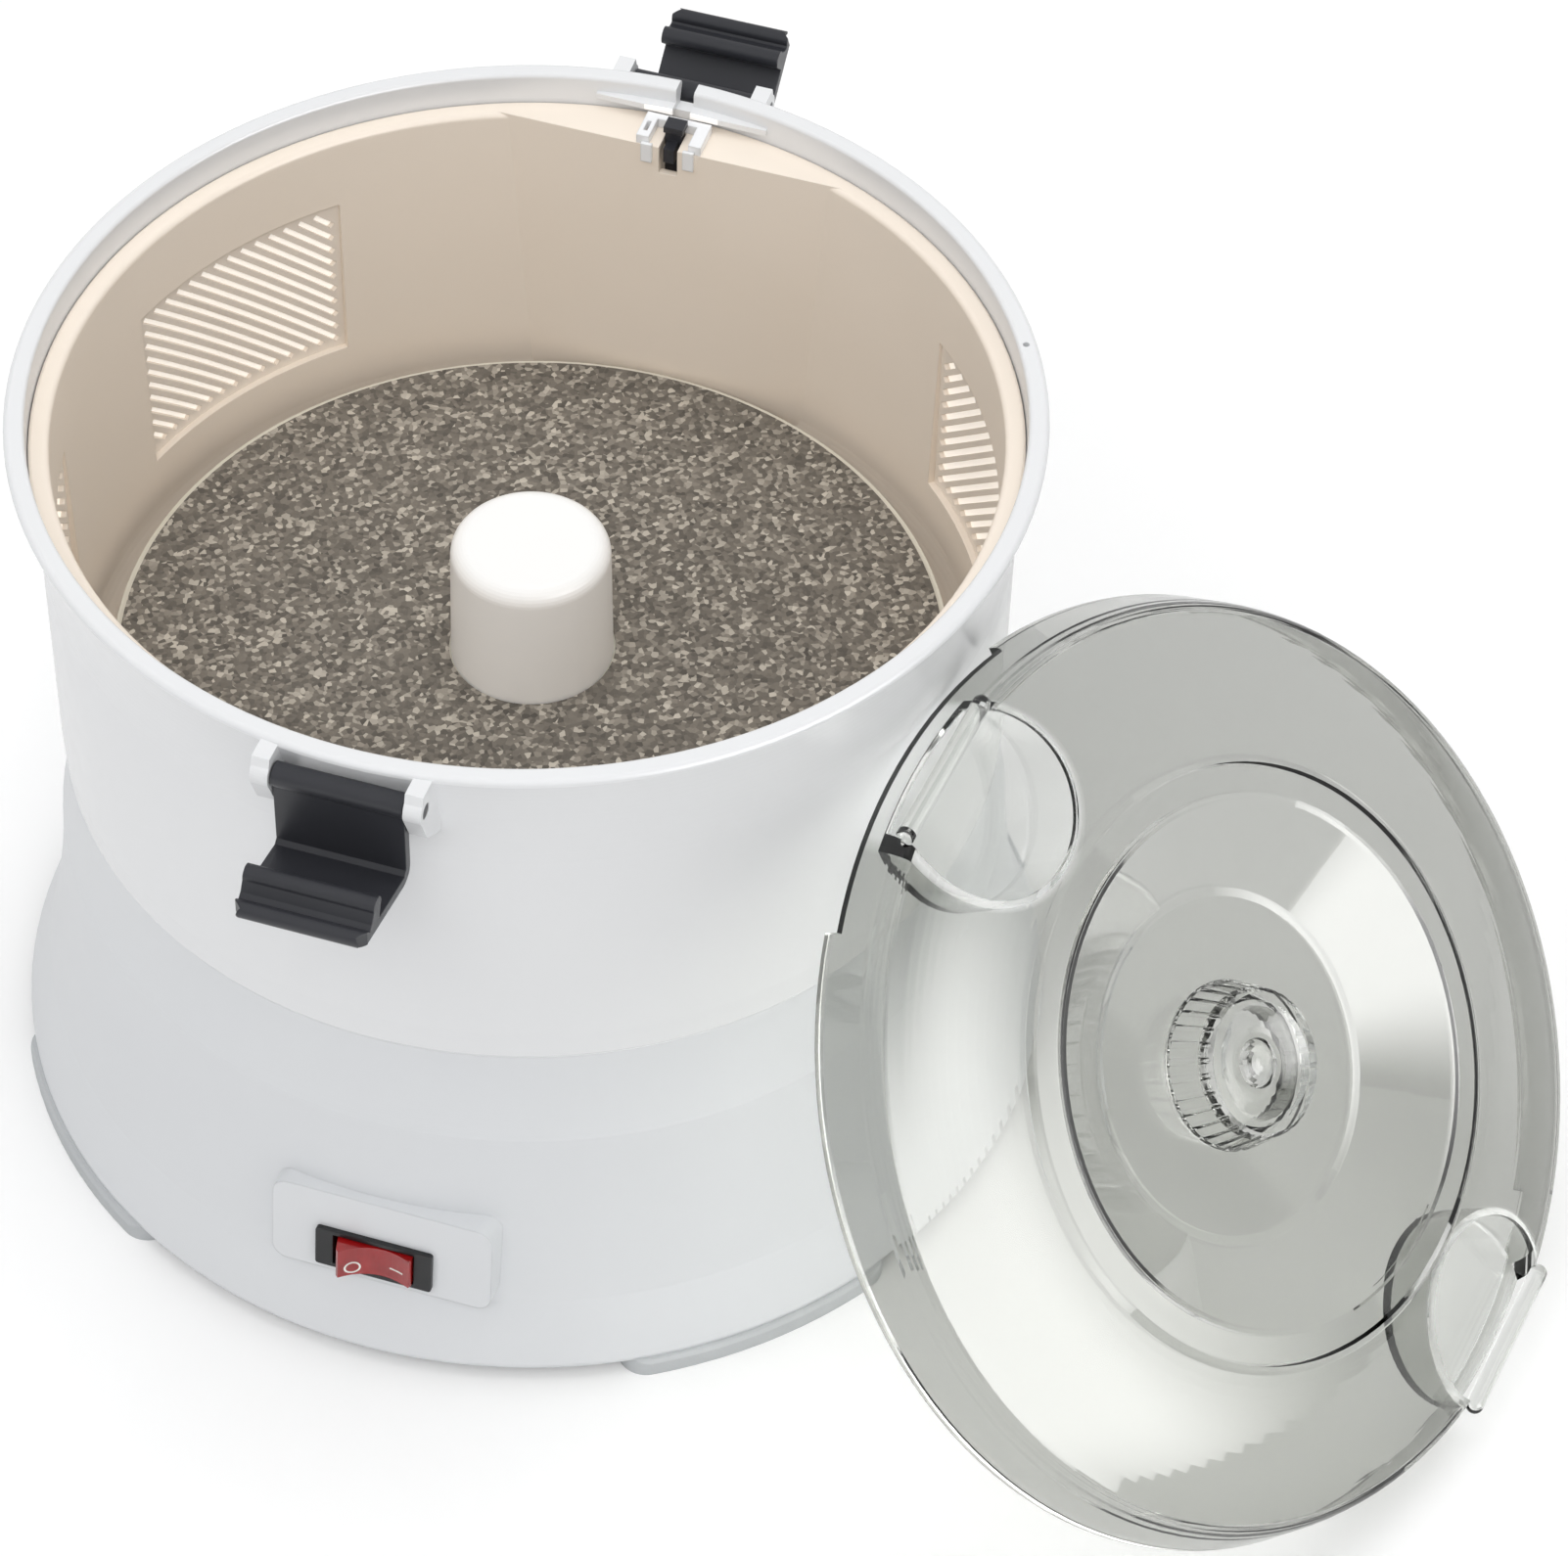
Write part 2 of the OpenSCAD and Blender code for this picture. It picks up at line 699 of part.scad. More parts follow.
module gear(m, teeth, h) {
  one = tooth(m, teeth);
  linear_extrude(h)
  polygon([for (i = [0:teeth - 1]) for (p = one) turned(p, i * 360 / teeth)]);
}

// Angle of a follower so that its tooth gap meets the driver's tooth
function mesh_turn(driver_turn, driver_teeth, teeth, dir) =
  (dir + 180) - 180 / teeth + (dir - driver_turn) * driver_teeth / teeth;

idler_small_turn = mesh_turn(0, output_teeth, idler_small_teeth, idler_az);
idler_turn = idler_small_turn + idler_phase;
pinion_turn = mesh_turn(idler_turn, idler_teeth, pinion_teeth, motor_dir);

module drive_gear() {
  color("#e9e6da")
  translate([0, 0, gear_high_z])
  difference() {
    union() {
      gear(module_2, output_teeth, face_2);
      translate([0, 0, -gear_high_z + gear_low_z]) cylinder(r = 9, h = gear_high_z - gear_low_z + 1);
    }
    translate([0, 0, -20]) cylinder(r = shaft_r, h = 40);
    for (z = [-1, face_2 - 2]) translate([0, 0, z]) tube(output_r - 5, 13, 3);
    copies([0, 60, 120, 180, 240, 300]) translate([21, 0, -1]) cylinder(r = 4.5, h = 20, $fn = 48);
  }
}

module idler_gear() {
  color("#e9e6da")
  translate([idler_at[0], idler_at[1], 0])
  difference() {
    union() {
      translate([0, 0, gear_low_z]) rotate([0, 0, idler_turn]) gear(module_1, idler_teeth, face_1);
      translate([0, 0, gear_low_z + face_1 - 1])
        rotate([0, 0, idler_small_turn])
        gear(module_2, idler_small_teeth, gear_high_z + face_2 - gear_low_z - face_1 + 1);
    }
    translate([0, 0, gear_low_z - 1]) cylinder(r = idler_pin_r + run_gap, h = 60);
    translate([0, 0, gear_low_z - 1]) tube(idler_r - 4, 9, 3);
  }
}

module idler_pin() {
  color("#b9bcbf")
  translate([idler_at[0], idler_at[1], gear_plate_z]) {
    cylinder(r = idler_pin_r, h = under_deck_z - gear_plate_z - 0.3);
    translate([0, 0, gear_plate_t]) cylinder(r = idler_pin_r + 1.6, h = 0.8);
  }
}

// The drive shaft carries three dogs that stand in the bowl's coupling cup
dog_z = deck_z + collar_h + 0.4;
module drive_shaft() {
  color("#aeb1b4") {
    translate([0, 0, gear_plate_z - 3]) cylinder(r = shaft_r, h = dog_z - gear_plate_z + 3);
    translate([0, 0, dog_z - eps]) cylinder(r = 6, h = dog_h);
    copies([0, 120, 240]) translate([0, 0, dog_z - eps]) ring_slice(cup_r - 2.4, 5.5, 40, dog_h);
  }
}

module drive_bushes() {
  color("#b98a4b") {
    translate([0, 0, under_deck_z]) tube(shaft_r + run_gap + bush_wall, shaft_r + run_gap, deck_t + collar_h);
    translate([0, 0, gear_plate_z - 2])
      tube(shaft_r + run_gap + bush_wall, shaft_r + run_gap, gear_plate_t + 2);
  }
}

module gearbox_plate() {
  color("#a9adb0")
  translate([0, 0, gear_plate_z])
  difference() {
    linear_extrude(gear_plate_t) {
      circle(r = 44, $fn = 120);
      translate(motor_at) circle(r = can_r + 5, $fn = 120);
      translate([0, -can_r - 5]) square([motor_x, 2 * can_r + 10]);
      for (p = gear_posts) translate(p) circle(r = post_r + 2.5, $fn = 48);
      translate([72 - post_r - 2.5, -33]) square([2 * post_r + 5, 30]);
      translate([76, 0]) square([19.5, 27]);
      translate([-47.5, -27]) square([30, 54]);
    }
    translate([0, 0, -1]) {
      cylinder(r = shaft_r + run_gap + bush_wall, h = 10);
      translate(motor_at) cylinder(r = 8, h = 10);
      translate(motor_at) for (s = [-1, 1]) translate([0, s * motor_screw_r, 0]) {
        cylinder(r = screw_r + screw_gap, h = 10, $fn = 48);
        translate([0, 0, gear_plate_t + 1 - 1.9]) cylinder(r = screw_head_r + screw_gap, h = 10, $fn = 48);
      }
      translate(idler_at) cylinder(r = idler_pin_r, h = 10);
      for (p = gear_posts) translate(p) cylinder(r = screw_r + screw_gap, h = 10, $fn = 48);
    }
  }
}

motor_screw_r = 16;
module gearbox_screws() {
  color("#8d8f91") {
    for (p = gear_posts) translate([p[0], p[1], gear_plate_z]) screw(10);
    translate([motor_at[0], motor_at[1], gear_plate_z + gear_plate_t - 1.9])
    for (s = [-1, 1]) translate([0, s * motor_screw_r, 0]) mirror([0, 0, 1]) screw(gear_plate_t + 0.6);
  }
}

// ---- Motor ----

can_top_z = gear_plate_z;
can_z = can_top_z - can_len;
cap_t = 3;
magnet_t = 6;

module at_motor() {
  translate([motor_at[0], motor_at[1], 0]) children();
}

module motor_can() {
  color("#9da1a4")
  at_motor() {
    difference() {
      translate([0, 0, can_z]) cylinder(r = can_r, h = can_len - cap_t);
      translate([0, 0, can_z + 2]) cylinder(r = can_r - can_wall, h = can_len);
      translate([0, 0, can_z - 1]) cylinder(r = motor_shaft_r + run_gap + 3, h = 20);
      copies([for (i = [0:7]) i * 45]) translate([14, 0, can_z - 1]) cylinder(r = 3, h = 5, $fn = 48);
    }
  }
}

module motor_cap() {
  color("#3b3d40")
  at_motor()
  difference() {
    union() {
      translate([0, 0, can_top_z - cap_t]) cylinder(r = can_r, h = cap_t);
      translate([0, 0, can_top_z - cap_t - 3]) tube(can_r - can_wall - 0.1, can_r - can_wall - 2.6, 3 + eps);
      for (a = [0, 180]) rotate([0, 0, a])
        translate([9, -5, can_top_z - cap_t - 7]) cube([12, 10, 7 + eps]);
    }
    translate([0, 0, can_top_z - cap_t - 10]) cylinder(r = motor_shaft_r + run_gap + 3, h = 20);
    for (a = [0, 180]) rotate([0, 0, a])
      translate([7, -3, can_top_z - cap_t - 6]) cube([12, 6, 4]);
    for (s = [-1, 1]) translate([0, s * motor_screw_r, can_top_z - cap_t - 1])
      cylinder(r = screw_r + screw_gap, h = 10, $fn = 48);
  }
}

module field_magnets() {
  color("#5d5f60")
  at_motor()
  for (a = [0, 180]) rotate([0, 0, a])
  translate([0, 0, can_z + 5])
  ring_slice(can_r - can_wall, can_r - can_wall - magnet_t, 130, armature_len);
}

module motor_bushes() {
  color("#b98a4b")
  at_motor() {
    translate([0, 0, can_z]) tube(motor_shaft_r + run_gap + 3, motor_shaft_r + run_gap, 5);
    translate([0, 0, can_top_z - 5]) tube(motor_shaft_r + run_gap + 3, motor_shaft_r + run_gap, 5);
  }
}

commutator_r = 7;
commutator_z = can_z + 5 + armature_len + 2;
module motor_brushes() {
  color("#4a4541")
  at_motor()
  for (a = [0, 180]) rotate([0, 0, a])
  translate([commutator_r + 0.2, -2.6, can_top_z - cap_t - 5.8]) cube([9, 5.2, 3.6]);
}

module motor_shaft() {
  color("#b9bcbf")
  at_motor()
  translate([0, 0, can_z - fan_h - 3]) cylinder(r = motor_shaft_r, h = gear_low_z + face_1 - can_z + fan_h + 3);
}

module armature() {
  color("#8a5a3a")
  at_motor()
  translate([0, 0, can_z + 5])
  difference() {
    cylinder(r = armature_r, h = armature_len);
    translate([0, 0, -1]) cylinder(r = motor_shaft_r, h = armature_len + 2);
    copies([for (i = [0:11]) i * 30]) translate([armature_r - 2.6, -0.8, -1]) cube([5, 1.6, armature_len + 2]);
  }
}

module commutator() {
  color("#b87333")
  at_motor()
  translate([0, 0, commutator_z])
  difference() {
    cylinder(r = commutator_r, h = can_top_z - 5.4 - commutator_z);
    translate([0, 0, -1]) cylinder(r = motor_shaft_r, h = 30);
    copies([for (i = [0:11]) i * 30]) translate([commutator_r - 0.6, -0.3, -1]) cube([2, 0.6, 30]);
  }
}

module motor_pinion() {
  color("#c9a24e")
  at_motor()
  translate([0, 0, gear_low_z])
  rotate([0, 0, pinion_turn])
  difference() {
    gear(module_1, pinion_teeth, face_1);
    translate([0, 0, -1]) cylinder(r = motor_shaft_r, h = face_1 + 2);
  }
}

module cooling_fan() {
  color("#f0efe9")
  at_motor()
  translate([0, 0, can_z - fan_h - 2])
  difference() {
    union() {
      cylinder(r = 6, h = fan_h);
      cylinder(r = fan_r, h = 1.2);
      copies([for (i = [0:fan_blades - 1]) i * 360 / fan_blades])
        translate([5, -0.6, 0]) rotate([0, 0, 20]) cube([fan_r - 6, 1.2, fan_h]);
    }
    translate([0, 0, -1]) cylinder(r = motor_shaft_r, h = fan_h + 2);
  }
}

// ---- Interlock ----

button_top_z = deck_z - 4.6;
module interlock_switch() {
  color("#26282b")
  difference() {
    translate([-10, interlock_y - 4.8, button_top_z - 13]) cube([20, 6.4, 10]);
    translate([0, interlock_y, button_top_z - 8]) cylinder(r = 1.6 + run_gap, h = 10, $fn = 48);
    for (x = [-7.5, 7.5]) translate([x, interlock_y, button_top_z - 10.5]) rotate([90, 0, 0])
      cylinder(r = 1.3, h = 20, center = true, $fn = 32);
  }
  color("#c9cbca")
  for (s = [-1, 1]) translate([s * 11 - 1, interlock_y - 4.8, button_top_z - 9])
    cube([2, 5.6, under_deck_z - button_top_z + 9]);
}

module interlock_button() {
  color("#c43a2c")
  translate([0, interlock_y, button_top_z - 4.8]) cylinder(r = 1.6, h = 4.8, $fn = 48);
}

// ---- Bowl housing ----

bowl_path = concat(
  arc([wall_r - 2.2, bowl_z + 1.6], 1.6, -90, -20, 4),
  [[wall_r - 0.25, bowl_z + 9]],
  bend([wall_r, rim_z - flare_h], [wall_r + 0.8, rim_z - 16], [rim_r, rim_z - 1.6], 14),
  arc([rim_r - 1.4, rim_z - 1.4], 1.4, 20, 90, 5)
);
lip_path = concat(
  arc([lip_r + 1, rim_z - 1], 1, 90, 180, 4),
  [[lip_r, shelf_z], [inner_r, shelf_z], [inner_r, shelf_z - shelf_t], [inner_r + 1.4, shelf_z - shelf_t]]
);

// Where the outer wall lies at a height, from the flare down
function wall_at(z) = lookup(z, [for (p = bowl_path) [p[1], p[0]]]);

ear_in = wall_r - 1.2;
module ear_profile() {
  d = hinge_r - ear_in;
  polygon(concat(
    [[0, rim_z - 1.2], [d + 1.4, rim_z - 0.7]],
    arc([d - 0.4, hinge_z + 0.2], 3.9, 50, -30, 8),
    [[d - 0.2, hinge_z - 9], [0, hinge_z - 16]]
  ));
}

module hinge_ears() {
  for (s = [-1, 1])
  translate([s * (latch_w / 2 + ear_gap + ear_t / 2), 0, 0])
  rotate([90, 0, -90])
  translate([0, 0, -ear_t / 2])
  difference() {
    linear_extrude(ear_t)
    translate([ear_in, 0]) ear_profile();
    translate([hinge_r, hinge_z, -1]) cylinder(r = pin_r + run_gap, h = ear_t + 2, $fn = 64);
  }
}

notch_w = 4.6;
notch_h = 6;
locator_r = seam_r - base_wall - skirt_gap;
lug_z = deck_z + 2.8;
lug_t = 2.6;
module housing_section() {
  polygon(concat(
    bowl_path, lip_path,
    [[wall_at(rim_z - 18) - bowl_wall, rim_z - 18], [inner_r, rim_z - flare_h], [inner_r, bowl_z + 3]],
    [[locator_r - 2, bowl_z + 3], [locator_r - 2, deck_z + near], [locator_r, deck_z + near]],
    [[locator_r, bowl_z], [wall_r - 2.2, bowl_z]]
  ));
}

// The straight wall of the bowl, up to the ring of the rim
module upper_housing() {
  color("#f0f1f1")
  difference() {
    union() {
      rotate_extrude($fn = 180) intersection() {
        housing_section();
        square([rim_r + 1, rim_z - ring_h]);
      }
      for (a = tub_screw_az) rotate([0, 0, a]) translate([0, 0, lug_z]) {
        translate([tub_screw_r, 0, 0]) cylinder(r = 4.6, h = lug_t, $fn = 48);
        translate([tub_screw_r, -4.6, 0]) cube([locator_r - 1 - tub_screw_r, 9.2, lug_t]);
      }
      translate([-5, flat_y + tub_wall + near, bowl_z]) cube([10, 6, 3]);
    }
    translate([-rod_w / 2 - rod_gap, interlock_y - rod_d / 2 - rod_gap, 60])
      cube([rod_w + 2 * rod_gap, rod_d + 2 * rod_gap, 80]);
    for (a = tub_screw_az) rotate([0, 0, a]) translate([tub_screw_r, 0, 60])
      cylinder(r = screw_r + screw_gap, h = 60, $fn = 48);
  }
}

// The ring on top of the wall, with flare, lip, ledge and the ears of the hinges
module bowl_rim() {
  color("#f0f1f1")
  difference() {
    union() {
      rotate_extrude($fn = 180) difference() {
        housing_section();
        square([rim_r + 1, rim_z - ring_h]);
      }
      for (a = [0, 180]) rotate([0, 0, a]) difference() {
        hinge_ears();
        translate([0, 0, 100]) cylinder(r = lip_r + 0.5, h = 120, $fn = 180);
      }
      translate([-22, lip_r - 3, ledge_z + 2.4]) intersection() {
        cube([44, 4.2, 1.6]);
        translate([22, 3 - lip_r, -1]) cylinder(r = lip_r + 0.5, h = 4, $fn = 180);
      }
    }
    translate([-notch_w / 2, lip_r - 5, rim_z - notch_h]) cube([notch_w, 20, 10]);
    rotate([0, 0, 28]) translate([lip_r + 2, 0, rim_z - 6]) cylinder(r = 0.8, h = 10, $fn = 32);
  }
}

// ---- Tub ----

module tub_round(r_top, r_low, z_low, fillet, z_top) {
  rotate_extrude($fn = 180)
  polygon(concat(
    [[0, z_top], [0, z_low]],
    arc([r_low - fillet, z_low + fillet], fillet, -90, -3, 8),
    [[r_top, z_top]]
  ));
}

module tub_space(grow, low) {
  intersection() {
    tub_round(tub_r + grow, tub_low_r + grow, floor_z - low, floor_fillet + low, ledge_z - 1 + eps);
    translate([-200, -400 + flat_y + grow, 0]) cube([400, 400, 300]);
  }
}

spindle_boss_r = 10;
spindle_top_z = floor_z + 3;
tub_screw_r = locator_r - 6.4;
tub_screw_az = [30, 150, 270];

window_azs = [window_az, 180 - window_az, 180 + window_az, 360 - window_az];

module window_cut(grow, deep) {
  at_z = window_z - grow;
  rotate([0, 0, -window_arc / 2 - grow / 2])
  translate([0, 0, at_z])
  rotate_extrude(angle = window_arc + grow, $fn = 180)
  translate([tub_low_r - 4, 0]) square([deep, window_h + 2 * grow]);
}

module tub() {
  color("#f4f4f2")
  difference() {
    union() {
      difference() {
        union() {
          tub_space(tub_wall, floor_t);
          translate([0, 0, shelf_z])
          rotate_extrude($fn = 180)
          polygon([[0, 0], [flange_r, 0], [flange_r, flange_t - 0.4], [flange_r - 0.6, flange_t], [0, flange_t]]);
        }
        tub_space(0, 0);
        tub_mouth();
      }
      translate([0, 0, tub_under_z - 1]) cylinder(r = spindle_boss_r, h = spindle_top_z - tub_under_z + 1);
      for (a = tub_screw_az) rotate([0, 0, a]) translate([tub_screw_r, 0, lug_z + lug_t])
        cylinder(r = 4, h = tub_under_z - lug_z - lug_t + 1.4, $fn = 48);
    }
    cylinder(r = shaft_r + run_gap + bush_wall, h = 160);
    for (a = tub_screw_az) rotate([0, 0, a]) translate([tub_screw_r, 0, 60])
      cylinder(r = screw_r + screw_gap, h = tub_under_z + 1.2 - 60, $fn = 48);
    copies(window_azs) window_cut(0, 20);
    translate([-rod_w / 2 - rod_gap, flat_y - 1, ledge_z - 8]) cube([rod_w + 2 * rod_gap, rod_d + 4, 20]);
    translate([-rod_w / 2 - rod_gap, interlock_y - rod_d / 2 - rod_gap, shelf_z - 1])
      cube([rod_w + 2 * rod_gap, rod_d + 2 * rod_gap, 20]);
  }
}

// The rounded opening at the top of the tub, at the ledge
module tub_mouth() {
  intersection() {
    rotate_extrude($fn = 180)
    polygon(concat(
      [[0, ledge_z + 1], [0, ledge_z - 1.6], [tub_r, ledge_z - 1.6]],
      arc([tub_r + 1.5, ledge_z - 1.5], 1.5, 180, 90, 5),
      [[tub_r + 1.5, ledge_z + 1]]
    ));
    translate([-200, -400 + flat_y, 0]) cube([400, 400, 300]);
  }
}

// Slits run at 45 degrees across a strainer and end short of its border
module strainers() {
  out_r = tub_r + tub_wall - 0.3;
  half_w = (out_r * sin(window_arc / 2) - strainer_border) * sqrt(2);
  half_h = (window_h / 2 - strainer_border) * sqrt(2);
  slits = floor((half_w + half_h) / slit_pitch / 2);
  color("#f4f4f2")
  for (k = [0:3]) {
    lean = k == 1 || k == 2 ? 1 : -1;
    rotate([0, 0, window_azs[k]])
    difference() {
      rotate([0, 0, -window_arc / 2])
      translate([0, 0, window_z])
      rotate_extrude(angle = window_arc, $fn = 180)
      translate([out_r - strainer_t, 0]) square([strainer_t, window_h]);
      translate([out_r, 0, window_z + window_h / 2])
      rotate([lean * 45, 0, 0])
      for (i = [-slits:slits]) {
        d = i * slit_pitch;
        low = max(lean * d - half_w, -lean * d - half_h) + slit_w / 2;
        high = min(lean * d + half_w, half_h - lean * d) - slit_w / 2;
        if (high - low > 4) translate([-9, low, d - slit_w / 2]) cube([14, high - low, slit_w]);
      }
    }
  }
}

module tub_screws() {
  color("#8d8f91")
  for (a = tub_screw_az) rotate([0, 0, a]) translate([tub_screw_r, 0, lug_z]) screw(tub_under_z - lug_z);
}

module spindle_bush() {
  color("#b98a4b")
  translate([0, 0, tub_under_z - 1])
    tube(shaft_r + run_gap + bush_wall, shaft_r + run_gap, spindle_top_z - tub_under_z + 1);
}

bracket_x = 6.7;
bracket_lip = 1;
module interlock_bracket() {
  color("#f7f7f5")
  translate([0, flat_y, ledge_z]) {
    difference() {
      union() {
        for (s = [-1, 1]) translate([s * bracket_x - 1.6, 0.2, 0]) cube([3.2, 9.2, 2.6]);
        translate([-bracket_x, 7.4, 0]) cube([2 * bracket_x, 2, 2.6]);
      }
      translate([-bracket_x - 0.5, 2.4, -1]) cube([1, 3.6, 5]);
    }
    for (x = [-5.4, 5.4]) translate([x - 1.4, -bracket_lip, -4.6]) cube([2.8, bracket_lip, 5.6]);
  }
}

// The rod reaches from a hook on the ledge down to the button in the base
rod_foot_z = button_top_z + near;
hook_z = ledge_z + rod_travel + 0.2;
spring_low_z = bowl_z + 3.1;
spring_high_z = spring_low_z + 14.9;
module interlock_rod() {
  color("#3a3c40") {
    translate([-rod_w / 2, interlock_y - rod_d / 2, rod_foot_z]) cube([rod_w, rod_d, hook_z + 1 - rod_foot_z]);
    translate([-1.4, flat_y + 0.4, ledge_z - 4.6]) cube([2.8, interlock_y - flat_y, 4.2]);
    translate([-2.2, interlock_y - 2.6, hook_z]) cube([5, 4.1, 1.8]);
    translate([-3.4, interlock_y - rod_d / 2, spring_high_z]) cube([6.8, rod_d, 2]);
  }
}

spring_r = 3.2;
spring_wire = 0.35;
spring_turns = 5;
module interlock_spring() {
  per_turn = 14;
  sides = 6;
  rings = spring_turns * per_turn;
  rise = spring_high_z - spring_low_z - 2 * spring_wire - 0.3;
  points = [
    for (i = [0:rings])
    let (a = i * 360 / per_turn, z = spring_low_z + spring_wire + 0.15 + rise * i / rings)
    for (k = [0:sides - 1])
    let (q = k * 360 / sides, r = spring_r + spring_wire * cos(q))
    [r * cos(a), r * sin(a) , z + spring_wire * sin(q)]
  ];
  sides_faces = [
    for (i = [0:rings - 1])
    for (k = [0:sides - 1])
    let (a = i * sides + k, b = i * sides + (k + 1) % sides)
    [a, a + sides, b + sides, b]
  ];
  color("#c4c7ca")
  translate([0, interlock_y, 0])
  polyhedron(
    points,
    concat(sides_faces, [[for (k = [0:sides - 1]) k]], [[for (k = [sides - 1:-1:0]) rings * sides + k]]),
    convexity = 6
  );
}

// ---- Spindle and disc ----

cup_z = dog_z + near;
module spindle() {
  color("#d8d9d6") {
    difference() {
      translate([0, 0, cup_z]) cylinder(r = cup_r, h = tub_under_z - 1.6 - cup_z);
      translate([0, 0, cup_z - 1]) cylinder(r = cup_r - 1.8, h = dog_h + 1.2);
    }
    copies([60, 180, 300]) translate([0, 0, cup_z]) ring_slice(cup_r - 1, 6.6, 40, dog_h + 1);
    translate([0, 0, tub_under_z - 2]) cylinder(r = shaft_r, h = spindle_top_z - tub_under_z + 2.4);
    translate([0, 0, spindle_top_z + near]) cylinder(r = 9, h = 0.6);
    translate([0, 0, spindle_top_z + 0.6])
      cylinder(r = hex_flats / sqrt(3), h = disc_z - spindle_top_z + 1, $fn = 6);
  }
}

module disc_hub() {
  color("#e4e4e0")
  difference() {
    translate([0, 0, spindle_top_z + 1.2]) cylinder(r = hub_r, h = disc_z - spindle_top_z - 1.2);
    translate([0, 0, spindle_top_z]) cylinder(r = (hex_flats + 2 * hex_gap) / sqrt(3), h = 40, $fn = 6);
  }
}

module disc_plate() {
  color("#dcdcd8")
  difference() {
    union() {
      translate([0, 0, disc_z]) cylinder(r = disc_r, h = disc_t, $fn = 180);
      copies([for (i = [0:5]) i * 60 + 30])
        translate([hub_r + 1, -1, disc_z - 4]) cube([disc_r - hub_r - 12, 2, 4 + eps]);
    }
    translate([0, 0, disc_z - 5]) cylinder(r = (hex_flats + 2 * hex_gap) / sqrt(3), h = 40, $fn = 6);
    copies([0, 120, 240]) translate([12, 0, disc_z - 1]) cylinder(r = 1.5, h = 10, $fn = 32);
  }
}

module abrasive_sheet() {
  color("#4d4a46")
  translate([0, 0, disc_top_z]) tube(disc_r - 1.5, post_cap_r + 1, grit_t);
}

module centre_post() {
  h = post_top_z - disc_top_z;
  color("#f6f6f4")
  translate([0, 0, disc_top_z]) {
    rotate_extrude($fn = 120)
    difference() {
      polygon(concat(
        [[0, 0], [post_cap_r + 0.5, 0]],
        arc([post_cap_r - post_round, h - post_round], post_round, 3, 90, 8),
        [[0, h]]
      ));
      polygon([
        [0, -1], [post_cap_r - 2, -1], [post_cap_r - 2.6, h - 5],
        [post_cap_r - 5, h - 2.4], [0, h - 2.4]
      ]);
    }
    copies([0, 120, 240]) translate([12, 0, 0]) tube(3.2, 1.3, h - 2.4);
  }
}

// ---- Latches ----

// Half the plate lies on each side of the hinge's axis. X is outwards and Y is up, with the latch shut
plate_in = -1.4;
module latch_profile() {
  bend_at = [plate_in, latch_len];
  reach = -[cos(latch_dip), sin(latch_dip)];
  up = [-reach[1], reach[0]] * -1;
  tip = bend_at + reach * latch_reach;
  circle(r = barrel_r, $fn = 64);
  polygon(concat(
    [[plate_in, 0], [plate_in, latch_len - 1.2], bend_at + reach * 1.2],
    [tip + reach * -0.8, tip + up * (latch_t - 0.4), tip + up * latch_t + reach * -1],
    [bend_at + up * latch_t + reach * 1.4],
    bend(
      bend_at + up * latch_t + reach * 1.4,
      [plate_in + latch_t, latch_len + latch_t * 0.9],
      [plate_in + latch_t, latch_len - 1.8],
      6
    ),
    [[plate_in + latch_t, 0]]
  ));
  // Locking roll on its neck
  translate(bend_at + reach * roll_at - up * (roll_h - roll_r)) circle(r = roll_r, $fn = 48);
  polygon([
    bend_at + reach * (roll_at - 1.5) + up * 0.5,
    bend_at + reach * (roll_at - roll_r) - up * (roll_h - roll_r),
    bend_at + reach * (roll_at + roll_r * 0.7) - up * (roll_h - roll_r * 0.6),
    bend_at + reach * (roll_at + 3) - up * 1,
    bend_at + reach * (roll_at + 4.4) + up * 0.5
  ]);
  // Finger lip along the tip
  translate(tip + reach * -1.2 + up * 0.9) circle(r = 2, $fn = 48);
}

// A latch shut over the lid, hinged at the front
module latch_shut() {
  translate([0, -hinge_r, hinge_z])
  difference() {
    union() {
      rotate([90, 0, -90])
      translate([0, 0, -latch_w / 2])
      linear_extrude(latch_w) latch_profile();
      rotate([0, 90, 0]) cylinder(r = pin_r, h = latch_w + 2 * pin_len, center = true, $fn = 64);
    }
    for (s = [-1, 1]) translate([s * latch_w / 2, latch_reach + 1, latch_len - 5])
      rotate([0, 0, 45]) cube([2.6, 2.6, 20], center = true);
  }
}

module latch_front() {
  color("#2f3034")
  translate([0, -hinge_r, hinge_z])
  rotate([180, 0, 0])
  translate([0, hinge_r, -hinge_z])
  latch_shut();
}

module latch_rear() {
  color("#2f3034")
  rotate([0, 0, 180])
  translate([0, -hinge_r, hinge_z])
  rotate([180 - rear_lean, 0, 0])
  translate([0, hinge_r, -hinge_z])
  latch_shut();
}

// ---- Lid ----

// Outer surface of the lid from its open edge to the foot of the knob
lid_path = concat(
  [[lid_r, 0], [lid_r, 1.4], [lid_r - 2.6, lid_skirt]],
  bend([lid_r - 2.9, lid_skirt + 0.8], [lid_r - 4, shoulder_h - 0.5], [shoulder_r, shoulder_h], 5),
  bend(
    [shoulder_r - 2, shoulder_h + 0.7],
    [(shoulder_r + crown_r) / 2 + 3, crown_h - 3.6],
    [crown_r + 1, crown_h - 1.9],
    14
  ),
  [[crown_r - 1, crown_h - 0.6], [dish_r + 1, crown_h], [dish_r - 0.6, crown_h - 0.6]],
  [[dish_floor_r + 1, dish_floor_h + 0.5], [dish_floor_r - 1, dish_floor_h], [knob_r - 0.4, dish_floor_h]]
);
lid_inner = beside(lid_path, lid_wall);

